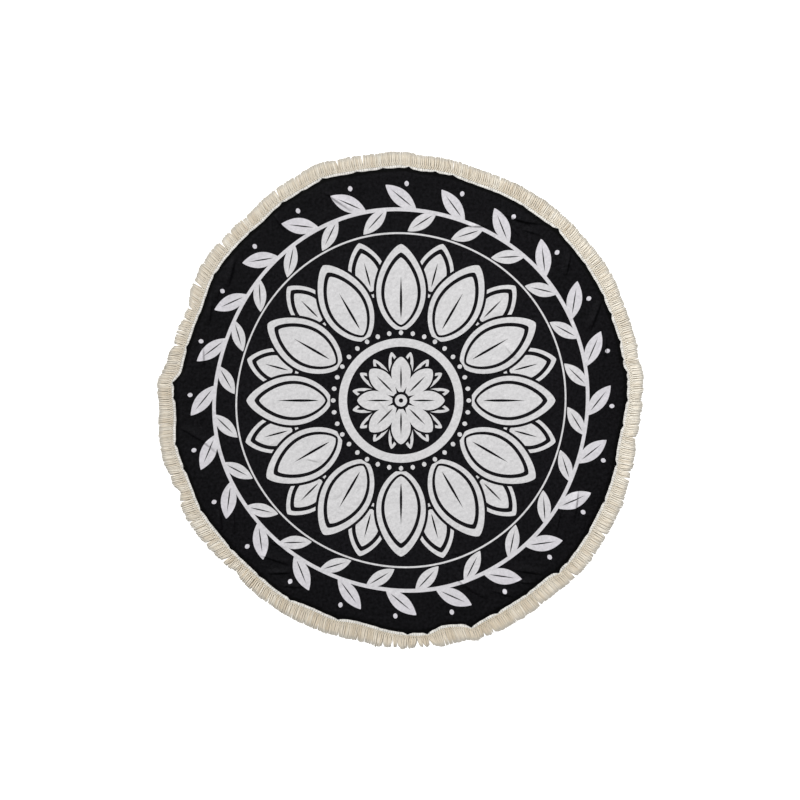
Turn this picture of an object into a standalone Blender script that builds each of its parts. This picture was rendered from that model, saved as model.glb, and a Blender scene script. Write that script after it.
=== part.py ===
"""Round beach towel, laid out flat: a cotton disc, a heading tape sewn over its hem and a lock fringe.

Metres, +Z up. The towel lies on z = 0, and the middle of its outline is at the origin. A bearing is in
degrees, counter-clockwise from +X. The hem is the line where the tape's inner edge crosses the cloth.
"""

import math
import random
from bisect import bisect_right
from collections import namedtuple

import bmesh
import bpy
from mathutils import Vector
from mathutils.geometry import delaunay_2d_cdt

MM = 0.001
TOWEL = "round_beach_towel"
SEED = 31

# Thicknesses, and the gap that keeps two sewn pieces apart
CLOTH_THICK = 1.8 * MM
STRIP_THICK = 1.8 * MM
TAPE_THICK = 1.2 * MM
PIECE_GAP = 0.3 * MM

# Distances outwards from the hem
CLOTH_EDGE = 5.0 * MM
STRIP_INNER = CLOTH_EDGE + PIECE_GAP
STRIP_OUTER = 15.5 * MM
TAPE_OUTER = 15.0 * MM

# Fringe: the locks are flat below, ridged above, and part in Vs
LOCKS_PER_BAY = 2
BAYS = 144
LOCKS = LOCKS_PER_BAY * BAYS
ROOT_SHARE = 0.86
BELLY_SHARE = 0.90
TIP_SHARE = 0.82
LOCK_GAP = 1.8 * MM
BELLY_PLACE = 0.45
BELLY_BEND = 0.35
BELLY_HIGH = 3.6 * MM
TIP_HIGH = 2.2 * MM
RIDGE_SHARE = 0.55
REACH_JITTER = 1.4 * MM
SWAY_JITTER = 0.7 * MM
PARTING_SPREAD_DEG = 2.2
SHORTFALL_SPREAD_DEG = 1.5

# Cloth mesh: a loose triangular grid between the rim and the creases. A crease's flank and foot are in
# shares of its width
FIELD_STEP = 56.0 * MM
FIELD_RIM_GAP = 30.0 * MM
FIELD_CREASE_GAP = 20.0 * MM
CREASE_STOPS = 5
CREASE_FLANK = 1.3
CREASE_FOOT = 2.0
CREASE_RIM_FADE = 22.0 * MM
FLAT_HEM = 4.0 * MM
NO_WELD = 1e-7

# The towel's hem, as far from the middle as it was pulled when laid out
Hem = namedtuple("Hem", "bearing_deg radius_mm")
HEM = (
    Hem(0.0, 691.5),
    Hem(6.5, 696.5),
    Hem(9.5, 689.0),
    Hem(15.0, 693.0),
    Hem(21.0, 693.0),
    Hem(30.0, 699.0),
    Hem(37.0, 701.5),
    Hem(44.0, 704.5),
    Hem(48.0, 708.0),
    Hem(52.0, 702.5),
    Hem(60.0, 703.0),
    Hem(71.0, 699.0),
    Hem(79.0, 706.0),
    Hem(85.0, 706.0),
    Hem(90.0, 713.5),
    Hem(96.0, 710.5),
    Hem(103.0, 712.0),
    Hem(109.0, 718.0),
    Hem(114.0, 710.0),
    Hem(123.0, 702.0),
    Hem(129.0, 691.5),
    Hem(141.0, 691.0),
    Hem(147.0, 687.5),
    Hem(156.0, 672.0),
    Hem(162.0, 672.5),
    Hem(172.5, 679.0),
    Hem(175.5, 697.0),
    Hem(183.0, 690.5),
    Hem(191.0, 701.0),
    Hem(201.0, 693.5),
    Hem(208.0, 697.0),
    Hem(218.0, 690.5),
    Hem(228.0, 688.5),
    Hem(240.0, 696.0),
    Hem(247.0, 691.0),
    Hem(253.0, 695.5),
    Hem(258.0, 690.0),
    Hem(270.0, 710.5),
    Hem(276.5, 716.0),
    Hem(279.5, 703.0),
    Hem(283.5, 704.0),
    Hem(287.5, 724.0),
    Hem(291.0, 715.5),
    Hem(303.0, 706.0),
    Hem(309.5, 702.5),
    Hem(312.5, 710.5),
    Hem(318.0, 708.0),
    Hem(330.0, 695.5),
    Hem(341.0, 688.5),
    Hem(348.5, 678.5),
    Hem(356.0, 685.0),
)

# How far beyond the hem the tips lie
Reach = namedtuple("Reach", "bearing_deg tips_mm")
REACHES = (
    Reach(0.0, 48.5),
    Reach(10.0, 51.5),
    Reach(18.0, 49.5),
    Reach(33.0, 52.5),
    Reach(43.0, 48.0),
    Reach(57.0, 51.5),
    Reach(75.0, 47.5),
    Reach(90.0, 49.5),
    Reach(107.0, 48.5),
    Reach(113.0, 50.0),
    Reach(128.0, 47.5),
    Reach(144.0, 50.0),
    Reach(160.0, 48.5),
    Reach(174.0, 53.5),
    Reach(179.0, 50.0),
    Reach(186.0, 52.0),
    Reach(204.0, 50.0),
    Reach(212.0, 54.0),
    Reach(228.0, 49.0),
    Reach(240.0, 50.5),
    Reach(246.0, 55.0),
    Reach(264.0, 55.0),
    Reach(270.0, 50.5),
    Reach(279.0, 55.0),
    Reach(287.0, 47.0),
    Reach(292.0, 52.5),
    Reach(301.0, 54.0),
    Reach(312.0, 50.5),
    Reach(332.0, 56.0),
    Reach(342.0, 51.0),
    Reach(347.0, 54.5),
    Reach(354.0, 52.0),
)

# How far the tips are swept sideways, counter-clockwise positive
Sweep = namedtuple("Sweep", "bearing_deg tips_mm")
SWEEPS = (
    Sweep(0.0, 0.0),
    Sweep(30.0, 1.0),
    Sweep(68.0, 6.0),
    Sweep(95.0, 0.0),
    Sweep(113.0, -4.0),
    Sweep(125.0, -1.0),
    Sweep(146.0, -6.0),
    Sweep(170.0, 3.0),
    Sweep(190.0, 0.0),
    Sweep(208.0, -8.0),
    Sweep(221.0, -7.0),
    Sweep(234.0, 6.0),
    Sweep(250.0, 5.0),
    Sweep(262.0, 0.0),
    Sweep(287.0, 7.0),
    Sweep(320.0, 3.0),
    Sweep(341.0, 1.0),
)

# Where the fringe parts: the V's width at the tips, and how much shorter its locks are
Parting = namedtuple("Parting", "bearing_deg opening_mm shortfall_mm")
PARTINGS = (
    Parting(10.0, 6.0, 4.0),
    Parting(65.5, 7.0, 2.0),
    Parting(105.3, 10.0, 1.0),
    Parting(121.0, 9.0, 0.0),
    Parting(131.0, 6.0, 3.0),
    Parting(135.7, 8.0, 0.0),
    Parting(138.3, 14.0, 3.0),
    Parting(145.4, 8.0, 0.0),
    Parting(150.2, 12.0, 0.0),
    Parting(156.0, 12.0, 6.0),
    Parting(159.4, 9.0, 6.0),
    Parting(166.0, 9.0, 5.0),
    Parting(202.6, 6.0, 11.0),
    Parting(205.2, 9.0, 0.0),
    Parting(210.6, 9.0, 0.0),
    Parting(216.8, 9.0, 0.0),
    Parting(222.4, 10.0, 0.0),
    Parting(226.0, 8.0, 6.0),
    Parting(236.1, 7.0, 0.0),
    Parting(249.4, 6.0, 0.0),
    Parting(265.6, 8.0, 0.0),
    Parting(267.7, 12.0, 0.0),
    Parting(271.3, 9.0, 2.0),
    Parting(273.8, 12.0, 4.0),
    Parting(276.6, 16.0, 6.0),
    Parting(289.3, 10.0, 0.0),
    Parting(291.5, 8.0, 0.0),
    Parting(304.2, 10.0, 0.0),
    Parting(314.5, 8.0, 0.0),
    Parting(326.6, 8.0, 0.0),
    Parting(341.0, 12.0, 0.0),
    Parting(351.0, 10.0, 5.0),
)

# Creases of the cloth: the middle of each, its run, its length, how wide it is at half height, and its height
Crease = namedtuple("Crease", "x_mm y_mm run_deg long_mm wide_mm high_mm")
CREASES = (
    Crease(-189.0, 606.0, -34.0, 92.0, 12.0, 4.6),
    Crease(-370.0, 541.0, -54.0, 56.0, 10.0, 3.8),
    Crease(-517.0, 387.0, 76.0, 76.0, 12.0, 4.8),
    Crease(-582.0, 262.0, 83.0, 56.0, 10.0, 3.6),
    Crease(-604.0, 129.0, 93.0, 58.0, 10.0, 4.2),
    Crease(376.0, 557.0, -14.0, 128.0, 13.0, 4.2),
    Crease(240.0, 531.0, 0.0, 54.0, 10.0, 3.2),
    Crease(514.0, 411.0, 78.0, 62.0, 12.0, 4.2),
    Crease(600.0, 258.0, 69.0, 96.0, 12.0, 4.6),
    Crease(630.0, 161.0, 88.0, 66.0, 10.0, 3.8),
    Crease(337.0, 146.0, -54.0, 48.0, 10.0, 3.0),
    Crease(-611.0, -130.0, -34.0, 132.0, 13.0, 4.8),
    Crease(-551.0, -370.0, -80.0, 54.0, 10.0, 4.0),
    Crease(-382.0, -492.0, -18.0, 92.0, 12.0, 4.2),
    Crease(-372.0, -532.0, 2.0, 70.0, 10.0, 3.6),
    Crease(-50.0, -22.0, -52.0, 48.0, 10.0, 2.6),
    Crease(212.0, -572.0, -36.0, 122.0, 13.0, 4.6),
    Crease(316.0, -596.0, -16.0, 64.0, 10.0, 4.0),
    Crease(396.0, -529.0, -8.0, 88.0, 12.0, 4.2),
    Crease(538.0, -327.0, 83.0, 98.0, 12.0, 4.6),
)


def turned(from_deg, to_deg):
    """Degrees from one bearing to another, the short way round."""
    return (to_deg - from_deg + 180.0) % 360.0 - 180.0


def even_slope(before, after):
    """Slope of a smooth curve where two stretches meet: level at a high or a low."""
    return 0.0 if before * after <= 0.0 else 2.0 * before * after / (before + after)


def read_round(rows, bearing_deg):
    """A table's second column at a bearing, on a smooth curve that never passes its rows' highs and lows."""
    last = bisect_right([row[0] for row in rows], bearing_deg % 360.0) - 1
    near = [rows[(last + step) % len(rows)] for step in (-1, 0, 1, 2)]
    spans = [(b[0] - a[0]) % 360.0 for a, b in zip(near, near[1:])]
    slopes = [(b[1] - a[1]) / span for a, b, span in zip(near, near[1:], spans)]
    _, start, end, _ = (row[1] for row in near)
    t = ((bearing_deg - near[1][0]) % 360.0) / spans[1]
    return (
        start * (2.0 * t**3 - 3.0 * t**2 + 1.0)
        + even_slope(slopes[0], slopes[1]) * spans[1] * (t**3 - 2.0 * t**2 + t)
        + end * (3.0 * t**2 - 2.0 * t**3)
        + even_slope(slopes[1], slopes[2]) * spans[1] * (t**3 - t**2)
    )


def hem_radius(bearing_deg):
    return read_round(HEM, bearing_deg) * MM


def at(bearing_deg, radius, z):
    turn = math.radians(bearing_deg)
    return Vector((radius * math.cos(turn), radius * math.sin(turn), z))


def station(index):
    """Bearing of the line between two bays, shared by every piece so that their edges run alike."""
    return 360.0 * index / BAYS


def fabric(name, colour, roughness):
    material = bpy.data.materials.new(name)
    material.use_nodes = True
    shader = material.node_tree.nodes["Principled BSDF"]
    shader.inputs["Base Color"].default_value = (*colour, 1.0)
    shader.inputs["Roughness"].default_value = roughness
    shader.inputs["Metallic"].default_value = 0.0
    material.diffuse_color = (*colour, 1.0)
    return material


def finished(bm, name, material, collection):
    """The bmesh as a named object, closed and facing out."""
    bmesh.ops.recalc_face_normals(bm, faces=bm.faces)
    mesh = bpy.data.meshes.new(name)
    bm.to_mesh(mesh)
    bm.free()
    mesh.materials.append(material)
    piece = bpy.data.objects.new(name, mesh)
    collection.objects.link(piece)
    return piece


def raised(bm, thick):
    """Gives the bmesh's open sheet its thickness, straight up."""
    lifted = bmesh.ops.extrude_face_region(bm, geom=bm.faces[:], use_keep_orig=True)
    tops = [item for item in lifted["geom"] if isinstance(item, bmesh.types.BMVert)]
    bmesh.ops.translate(bm, verts=tops, vec=(0.0, 0.0, thick))


def crease_ends(crease):
    middle = Vector((crease.x_mm, crease.y_mm)) * MM
    run = Vector((math.cos(math.radians(crease.run_deg)), math.sin(math.radians(crease.run_deg))))
    return middle - run * crease.long_mm * MM / 2.0, run


def crease_lift(crease, place):
    """Height that one crease gives the cloth at a place: a soft ridge that dies away at both ends."""
    start, run = crease_ends(crease)
    along = (place - start).dot(run) / (crease.long_mm * MM)
    across = (place - start).dot(Vector((-run.y, run.x))) / (CREASE_FOOT * crease.wide_mm * MM)
    if not 0.0 < along < 1.0 or abs(across) > 1.0:
        return 0.0
    return crease.high_mm * MM * math.sin(math.pi * along) * math.cos(math.pi / 2.0 * across) ** 2


def cloth_lift(place):
    """Height of the cloth's underside, which is flat on the floor from a little inside the hem."""
    inside = hem_radius(math.degrees(math.atan2(place.y, place.x))) - FLAT_HEM - place.length
    fade = min(max(inside / CREASE_RIM_FADE, 0.0), 1.0)
    return fade * sum(crease_lift(crease, place) for crease in CREASES)


def crease_points(crease):
    """Points along a crease's crest and down both its flanks."""
    start, run = crease_ends(crease)
    side = Vector((-run.y, run.x)) * crease.wide_mm * MM * CREASE_FLANK
    points = []
    for stop in range(CREASE_STOPS):
        share = stop / (CREASE_STOPS - 1)
        crest = start + run * crease.long_mm * MM * share
        points.append(crest)
        if 0 < stop < CREASE_STOPS - 1:
            points += [crest + side, crest - side]
    return points


def field_points(held):
    """A triangular grid over the cloth, clear of its rim and of the points already held by creases."""
    rows = int(HEM[0].radius_mm * MM / FIELD_STEP) + 2
    points = []
    for row in range(-rows, rows + 1):
        for column in range(-rows, rows + 1):
            place = Vector(((column + 0.5 * (row % 2)) * FIELD_STEP, row * FIELD_STEP * math.sqrt(0.75)))
            rim = hem_radius(math.degrees(math.atan2(place.y, place.x))) + CLOTH_EDGE
            if place.length > rim - FIELD_RIM_GAP:
                continue
            if all((place - point).length > FIELD_CREASE_GAP for point in held):
                points.append(place)
    return points


def make_cloth(collection):
    rim, flat = (
        [at(station(bay), hem_radius(station(bay)) + out, 0.0).xy for bay in range(BAYS)]
        for out in (CLOTH_EDGE, -FLAT_HEM)
    )
    held = [point for crease in CREASES for point in crease_points(crease)]
    places = rim + flat + held + field_points(held)
    flat_edges = [(BAYS + bay, BAYS + (bay + 1) % BAYS) for bay in range(BAYS)]
    points, _, faces, *_ = delaunay_2d_cdt(places, flat_edges, [list(range(BAYS))], 1, NO_WELD)
    bm = bmesh.new()
    corners = [bm.verts.new((point.x, point.y, cloth_lift(point))) for point in points]
    for face in faces:
        bm.faces.new([corners[index] for index in face])
    raised(bm, CLOTH_THICK)
    return finished(bm, "cloth", fabric("black cotton", (0.011, 0.010, 0.012), 0.9), collection)


def make_heading_tape(collection):
    bottom = max(CLOTH_THICK, STRIP_THICK) + PIECE_GAP
    bm = bmesh.new()
    inner, outer = (
        [bm.verts.new(at(station(bay), hem_radius(station(bay)) + out, bottom)) for bay in range(BAYS)]
        for out in (0.0, TAPE_OUTER)
    )
    for bay in range(BAYS):
        bm.faces.new((inner[bay - 1], outer[bay - 1], outer[bay], inner[bay]))
    raised(bm, TAPE_THICK)
    return finished(bm, "heading_tape", fabric("ivory tape", (0.76, 0.76, 0.70), 0.85), collection)


def lock_sway(bearing_deg):
    """How far a lock's tip leans counter-clockwise: the sweep of its stretch, and away from each parting."""
    sway = read_round(SWEEPS, bearing_deg)
    for parting in PARTINGS:
        turn = turned(parting.bearing_deg, bearing_deg)
        push = parting.opening_mm / 2.0 * math.exp(-abs(turn) / PARTING_SPREAD_DEG)
        sway += math.copysign(push, turn)
    return sway * MM


def lock_reach(bearing_deg):
    """How far from the hem a lock's tip lies."""
    reach = read_round(REACHES, bearing_deg)
    for parting in PARTINGS:
        turn = turned(parting.bearing_deg, bearing_deg)
        reach -= parting.shortfall_mm * math.exp(-((turn / SHORTFALL_SPREAD_DEG) ** 2))
    return reach * MM


def lock_section(bm, bearing_deg, radius, sway, wide, high):
    """A lock's cross-section: flat on the floor, narrower at its top."""
    corners = []
    for side, share, z in ((-1, 1.0, 0.0), (1, 1.0, 0.0), (1, RIDGE_SHARE, high), (-1, RIDGE_SHARE, high)):
        aside = math.degrees((sway + side * share * wide / 2.0) / radius)
        corners.append(bm.verts.new(at(bearing_deg + aside, radius, z)))
    return corners


def make_lock(bm, root, bearing_deg, sways, reach):
    """Lofts one lock from its four root corners on the strip to its tip.

    The sways are its own and its two neighbours': where they crowd together, the lock is narrower.
    """
    hem = hem_radius(bearing_deg)
    pitch = math.radians(360.0 / LOCKS)
    before, own, after = sways
    crowding = min(own - before, after - own)
    near = root
    for place, bend, share, high in (
        (BELLY_PLACE, BELLY_BEND, BELLY_SHARE, BELLY_HIGH),
        (1.0, 1.0, TIP_SHARE, TIP_HIGH),
    ):
        radius = hem + STRIP_OUTER + place * (reach - STRIP_OUTER)
        wide = min(share * pitch * hem, pitch * radius + bend * crowding - LOCK_GAP)
        far = lock_section(bm, bearing_deg, radius, bend * own, wide, high)
        for corner in range(4):
            bm.faces.new((near[corner - 1], near[corner], far[corner], far[corner - 1]))
        near = far
    bm.faces.new(near)


def make_fringe(collection):
    """A narrow strip round the cloth's edge, with the locks' roots fused into its outer wall."""
    bm = bmesh.new()
    jitter = random.Random(SEED)
    step = 360.0 / LOCKS

    def pair(bearing_deg, out):
        return [bm.verts.new(at(bearing_deg, hem_radius(bearing_deg) + out, z)) for z in (0.0, STRIP_THICK)]

    inner = [pair(station(bay), STRIP_INNER) for bay in range(BAYS)]
    outer = [
        pair((lock + share) * step, STRIP_OUTER) for lock in range(LOCKS) for share in (0.0, ROOT_SHARE)
    ]
    for bay in range(BAYS):
        first = 2 * LOCKS_PER_BAY * bay
        edge = [outer[(first + corner) % len(outer)] for corner in range(2 * LOCKS_PER_BAY + 1)]
        near, far = inner[bay], inner[(bay + 1) % BAYS]
        bm.faces.new((near[0], near[1], far[1], far[0]))
        for level in (0, 1):
            bm.faces.new([near[level], *(corner[level] for corner in edge), far[level]])

    bearings = [(lock + ROOT_SHARE / 2.0) * step for lock in range(LOCKS)]
    sways = [lock_sway(bearing) + jitter.uniform(-SWAY_JITTER, SWAY_JITTER) for bearing in bearings]
    for lock, bearing in enumerate(bearings):
        left, right, following = (outer[(2 * lock + corner) % len(outer)] for corner in range(3))
        near_sways = [sways[(lock + turn) % LOCKS] for turn in (-1, 0, 1)]
        reach = lock_reach(bearing) + jitter.uniform(-REACH_JITTER, REACH_JITTER)
        make_lock(bm, [left[0], right[0], right[1], left[1]], bearing, near_sways, reach)
        bm.faces.new((right[0], following[0], following[1], right[1]))
    return finished(bm, "fringe", fabric("cream cotton yarn", (0.72, 0.65, 0.54), 0.9), collection)


def centre(pieces):
    """Moves the meshes so that the middle of the towel's outline is at the origin."""
    points = [vertex.co for piece in pieces for vertex in piece.data.vertices]
    middle = Vector((0.0, 0.0, 0.0))
    for axis in (0, 1):
        middle[axis] = (min(p[axis] for p in points) + max(p[axis] for p in points)) / 2.0
    for piece in pieces:
        for vertex in piece.data.vertices:
            vertex.co -= middle


def main():
    for leftover in list(bpy.data.objects):
        bpy.data.objects.remove(leftover)
    collection = bpy.data.collections.new(TOWEL)
    bpy.context.scene.collection.children.link(collection)
    centre([make_cloth(collection), make_heading_tape(collection), make_fringe(collection)])


main()
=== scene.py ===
"""Dresses the round beach towel: printed cotton, woven heading tape, its stitching and a twisted-yarn fringe.

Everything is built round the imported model, in metres and +Z up, with the towel lying on z = 0. A bearing is
in degrees, counter-clockwise from +X, about the point LAID_ABOUT. Sizes in tables are in millimetres.
"""

import logging
import math
from dataclasses import dataclass, field
from enum import Enum
from typing import Any, ClassVar

import bpy
import numpy as np
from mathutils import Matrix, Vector
from mathutils.geometry import delaunay_2d_cdt


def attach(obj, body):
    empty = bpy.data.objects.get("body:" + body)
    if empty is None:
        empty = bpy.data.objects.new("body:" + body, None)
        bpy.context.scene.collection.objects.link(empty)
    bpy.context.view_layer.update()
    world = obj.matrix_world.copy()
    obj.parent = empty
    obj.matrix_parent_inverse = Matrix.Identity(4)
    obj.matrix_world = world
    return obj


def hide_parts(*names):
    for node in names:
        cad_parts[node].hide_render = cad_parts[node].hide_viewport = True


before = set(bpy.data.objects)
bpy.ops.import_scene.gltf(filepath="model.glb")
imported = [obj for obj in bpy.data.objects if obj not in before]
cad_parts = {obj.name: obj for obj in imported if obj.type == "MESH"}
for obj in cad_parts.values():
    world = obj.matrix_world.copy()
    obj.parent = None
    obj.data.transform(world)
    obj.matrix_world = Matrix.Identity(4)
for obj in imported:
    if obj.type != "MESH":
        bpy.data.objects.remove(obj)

LOG = logging.getLogger("towel")
MM = 0.001
BODY = "root"
# The point that the towel was laid out about, and so the centre of its bearings
LAID_ABOUT = np.array([2.55, -0.41]) * MM


def linear(colour: str) -> tuple[float, float, float, float]:
    """Turns an sRGB colour into the linear one that a shader takes.

    Args:
        colour: The colour as hex, such as "#DEDEE0".

    Returns:
        Red, green, blue and alpha.
    """
    parts = (int(colour[start : start + 2], 16) / 255.0 for start in (1, 3, 5))
    return *(part / 12.92 if part <= 0.04045 else ((part + 0.055) / 1.055) ** 2.4 for part in parts), 1.0


def feed(tree: bpy.types.NodeTree, node: bpy.types.Node, inputs: dict[int | str, Any]) -> None:
    """Sets or links a node's inputs.

    Args:
        tree: The tree that it is in.
        node: The node.
        inputs: What its inputs take, by place or name: a value, a socket or a node, or None to leave it be.
    """
    for place, value in inputs.items():
        if isinstance(value, bpy.types.Node):
            value = next(socket for socket in value.outputs if socket.enabled)
        if isinstance(value, bpy.types.NodeSocket):
            tree.links.new(value, node.inputs[place])
        elif value is not None:
            node.inputs[place].default_value = value


def add(tree: bpy.types.NodeTree, kind: str, *values: Any, named: dict | None = None, **settings: Any) -> Any:
    """Adds a node with its settings and links.

    Args:
        tree: The tree that it goes in.
        kind: The node's type.
        values: What its inputs take, in order: a value, a socket or a node, or None to leave one as it is.
        named: The same for inputs that are picked by name or place.
        settings: The node's own properties.

    Returns:
        The node.
    """
    node = tree.nodes.new(kind)
    for name, setting in settings.items():
        setattr(node, name, setting)
    feed(tree, node, {**dict(enumerate(values)), **(named or {})})
    return node


def new_group(name: str, kind: str, inputs: dict[str, tuple[str, Any]], outputs: dict[str, str]) -> Any:
    """Makes a node tree with named sockets.

    Args:
        name: The tree's name.
        kind: The tree's type.
        inputs: Each input's socket type and default value, or None where it has none.
        outputs: Each output's socket type.

    Returns:
        The tree.
    """
    tree = bpy.data.node_groups.new(name, kind)
    for label, (socket_type, default) in inputs.items():
        socket = tree.interface.new_socket(label, in_out="INPUT", socket_type=socket_type)
        if default is not None:
            socket.default_value = default
    for label, socket_type in outputs.items():
        tree.interface.new_socket(label, in_out="OUTPUT", socket_type=socket_type)
    return tree


def close_group(tree: Any, geometry: Any, material: Any) -> None:
    """Ends a Geometry Nodes tree: what it made is shaded smooth, made real and given its finish.

    Args:
        tree: The tree.
        geometry: What it made.
        material: The finish.
    """
    smooth = add(tree, "GeometryNodeSetShadeSmooth", geometry)
    real = add(tree, "GeometryNodeRealizeInstances", smooth)
    dressed = add(tree, "GeometryNodeSetMaterial", real, named={"Material": material})
    add(tree, "NodeGroupOutput", dressed)


def smooth_step(values: np.ndarray) -> np.ndarray:
    """Eases values from 0 to 1, level at both ends."""
    held = np.clip(values, 0.0, 1.0)
    return held * held * (3.0 - 2.0 * held)


def turned(bearings: np.ndarray, bearing: float) -> np.ndarray:
    """Gives the degrees from one bearing to each of several, the short way round."""
    return (bearings - bearing + 180.0) % 360.0 - 180.0


def out_from(bearings: np.ndarray) -> np.ndarray:
    """Gives the unit vector that points outwards at each bearing, as rows of x, y and z."""
    turns = np.radians(bearings)
    return np.stack([np.cos(turns), np.sin(turns), np.zeros_like(turns)], axis=1)


class Hem:
    """The hem line and the reach of the fringe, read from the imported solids."""

    STATIONS: ClassVar[int] = 144
    EASING: ClassVar[int] = 11

    def __init__(self) -> None:
        """Reads the tape's inner edge and the fringe's tips."""
        self.line = self._edge("heading_tape", np.minimum, np.inf)
        self.tips = self._edge("fringe", np.maximum, 0.0)
        window = np.hanning(2 * self.EASING + 3)[1:-1]
        wrapped = np.pad(self.line, self.EASING, mode="wrap")
        self.eased = np.convolve(wrapped, window / window.sum(), mode="valid")

    def _edge(self, node: str, nearer: np.ufunc, start: float) -> np.ndarray:
        """Finds a node's innermost or outermost distance at each station.

        Args:
            node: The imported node.
            nearer: The function that picks one of two distances.
            start: The distance that loses to every other.

        Returns:
            The distances, in metres.
        """
        points = np.array([vertex.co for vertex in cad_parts[node].data.vertices])[:, :2] - LAID_ABOUT
        bearings = np.degrees(np.arctan2(points[:, 1], points[:, 0]))
        stations = np.round(bearings / 360.0 * self.STATIONS).astype(int) % self.STATIONS
        found = np.full(self.STATIONS, start)
        nearer.at(found, stations, np.hypot(points[:, 0], points[:, 1]))
        return found

    def _read(self, values: np.ndarray, bearings: np.ndarray) -> np.ndarray:
        """Reads evenly spaced values at any bearing, on a smooth closed curve through them."""
        places = np.asarray(bearings) / 360.0 * self.STATIONS
        last = np.floor(places).astype(int)
        t = places - last
        a, b, c, d = (values[(last + step) % self.STATIONS] for step in (-1, 0, 1, 2))
        return b + t * (c - a + t * (2 * a - 5 * b + 4 * c - d + t * (3 * (b - c) + d - a))) / 2.0

    def radius(self, bearings: np.ndarray) -> np.ndarray:
        """Gives the hem's distance from the centre at each bearing."""
        return self._read(self.line, bearings)

    def eased_radius(self, bearings: np.ndarray) -> np.ndarray:
        """Gives the same with its steps and corners smoothed away."""
        return self._read(self.eased, bearings)

    def reach(self, bearings: np.ndarray) -> np.ndarray:
        """Gives how far the fringe's longest strands lie from the centre at each bearing."""
        near = np.stack([np.roll(self.tips, step) for step in (-1, 0, 1)])
        return self._read(np.median(near, axis=0), bearings)

    def mean(self) -> float:
        """Gives the hem's mean distance from the centre."""
        return float(self.line.mean())

    def path(self, bearings: np.ndarray, out: float | np.ndarray, z: float) -> np.ndarray:
        """Lays points along the hem.

        Args:
            bearings: Where the points are.
            out: How far outside the hem, for all of them or for each.
            z: Their height.

        Returns:
            The points, as rows.
        """
        points = out_from(bearings) * (self.radius(bearings) + out)[:, None]
        points[:, :2] += LAID_ABOUT
        points[:, 2] = z
        return points


def linked(name: str, mesh: bpy.types.Mesh) -> bpy.types.Object:
    """Puts a mesh in the scene as an object at the origin."""
    piece = bpy.data.objects.new(name, mesh)
    bpy.context.scene.collection.objects.link(piece)
    return piece


def store(mesh: bpy.types.Mesh, name: str, values: np.ndarray) -> None:
    """Stores a number or a vector for each point of a mesh, under a name that a node can read."""
    vector = values.ndim == 2
    attribute = mesh.attributes.new(name, "FLOAT_VECTOR" if vector else "FLOAT", "POINT")
    attribute.data.foreach_set("vector" if vector else "value", values.astype(np.float32).ravel())


def grown(
    name: str, seeds: bpy.types.Mesh, tree: bpy.types.NodeTree, inputs: dict[str, Any]
) -> bpy.types.Object:
    """Runs a Geometry Nodes tree on a mesh and keeps what it makes as a plain piece.

    Args:
        name: The piece's name.
        seeds: The points or the path that the tree starts from.
        tree: The tree.
        inputs: What its named inputs take.

    Returns:
        The piece, with no modifier left on it.
    """
    carrier = linked(name + "_seeds", seeds)
    modifier = carrier.modifiers.new(tree.name, "NODES")
    modifier.node_group = tree
    for socket in tree.interface.items_tree:
        if socket.in_out == "INPUT" and socket.name in inputs:
            modifier[socket.identifier] = inputs[socket.name]
    graph = bpy.context.evaluated_depsgraph_get()
    shaped = carrier.evaluated_get(graph)
    mesh = bpy.data.meshes.new_from_object(shaped, preserve_all_data_layers=True, depsgraph=graph)
    mesh.name = name
    bpy.data.objects.remove(carrier)
    bpy.data.meshes.remove(seeds)
    return linked(name, mesh)


def settled(piece: bpy.types.Object, slot: str, *nodes: str) -> bpy.types.Object:
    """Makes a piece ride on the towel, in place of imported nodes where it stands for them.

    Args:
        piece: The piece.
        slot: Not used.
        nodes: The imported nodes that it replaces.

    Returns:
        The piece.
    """
    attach(piece, BODY)
    if nodes:
        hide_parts(*nodes)
    LOG.info("%s: %d faces", piece.name, len(piece.data.polygons))
    return piece


# ------------------------------------------------------------------------------------------------ finishes


class Finish:
    """A material whose nodes are worked out from what the real one is."""

    name: str

    def shading(self, tree: Any) -> dict[str, Any]:
        """Adds the finish's own nodes.

        Args:
            tree: The material's tree.

        Returns:
            What the shader's inputs take, by name: a value or a node.
        """
        raise NotImplementedError

    def material(self) -> bpy.types.Material:
        """Makes the material, which has the finish's name."""
        material = bpy.data.materials.new(self.name)
        material.use_nodes = True
        tree = material.node_tree
        feed(tree, tree.nodes["Principled BSDF"], self.shading(tree))
        return material


class Ink(Enum):
    """What a layer of the print lays down."""

    PRINT = "MAXIMUM"
    GROUND = "MINIMUM"


@dataclass(frozen=True)
class Band:
    """A plain ring of the print, or a dot at its centre.

    Attributes:
        radius: The middle of the ring's width.
        half: Half its width.
        ink: What it lays down.
    """

    radius: float
    half: float
    ink: Ink = Ink.PRINT

    def inputs(self) -> dict[str, float]:
        """Gives the values of the band's node group."""
        return {"Radius": self.radius, "Half width": self.half}


@dataclass(frozen=True)
class Motifs:
    """A ring of like leaf shapes, which are petals, leaves, dots or diamonds by their proportions.

    Attributes:
        count: How many stand round the ring.
        radius: How far their middles are from the centre.
        long: Their length.
        half: Half their width.
        belly: Where they are widest: under 1 nearer the centre, over 1 further out.
        point: How sharp their ends are: 0.5 is round, 1 and over is pointed.
        tilt: How far they lean clockwise from straight outwards, in degrees.
        turn: How far the ring is turned, as a share of the step from one to the next.
        ink: What they lay down.
    """

    count: int
    radius: float
    long: float
    half: float
    belly: float = 1.0
    point: float = 0.7
    tilt: float = 0.0
    turn: float = 0.0
    ink: Ink = Ink.PRINT

    def inputs(self) -> dict[str, float]:
        """Gives the values of the motif's node group."""
        return {
            "Count": self.count,
            "Radius": self.radius,
            "Length": self.long,
            "Half width": self.half,
            "Belly": self.belly,
            "Point": self.point,
            "Tilt": math.radians(self.tilt),
            "Turn": self.turn,
        }


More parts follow.
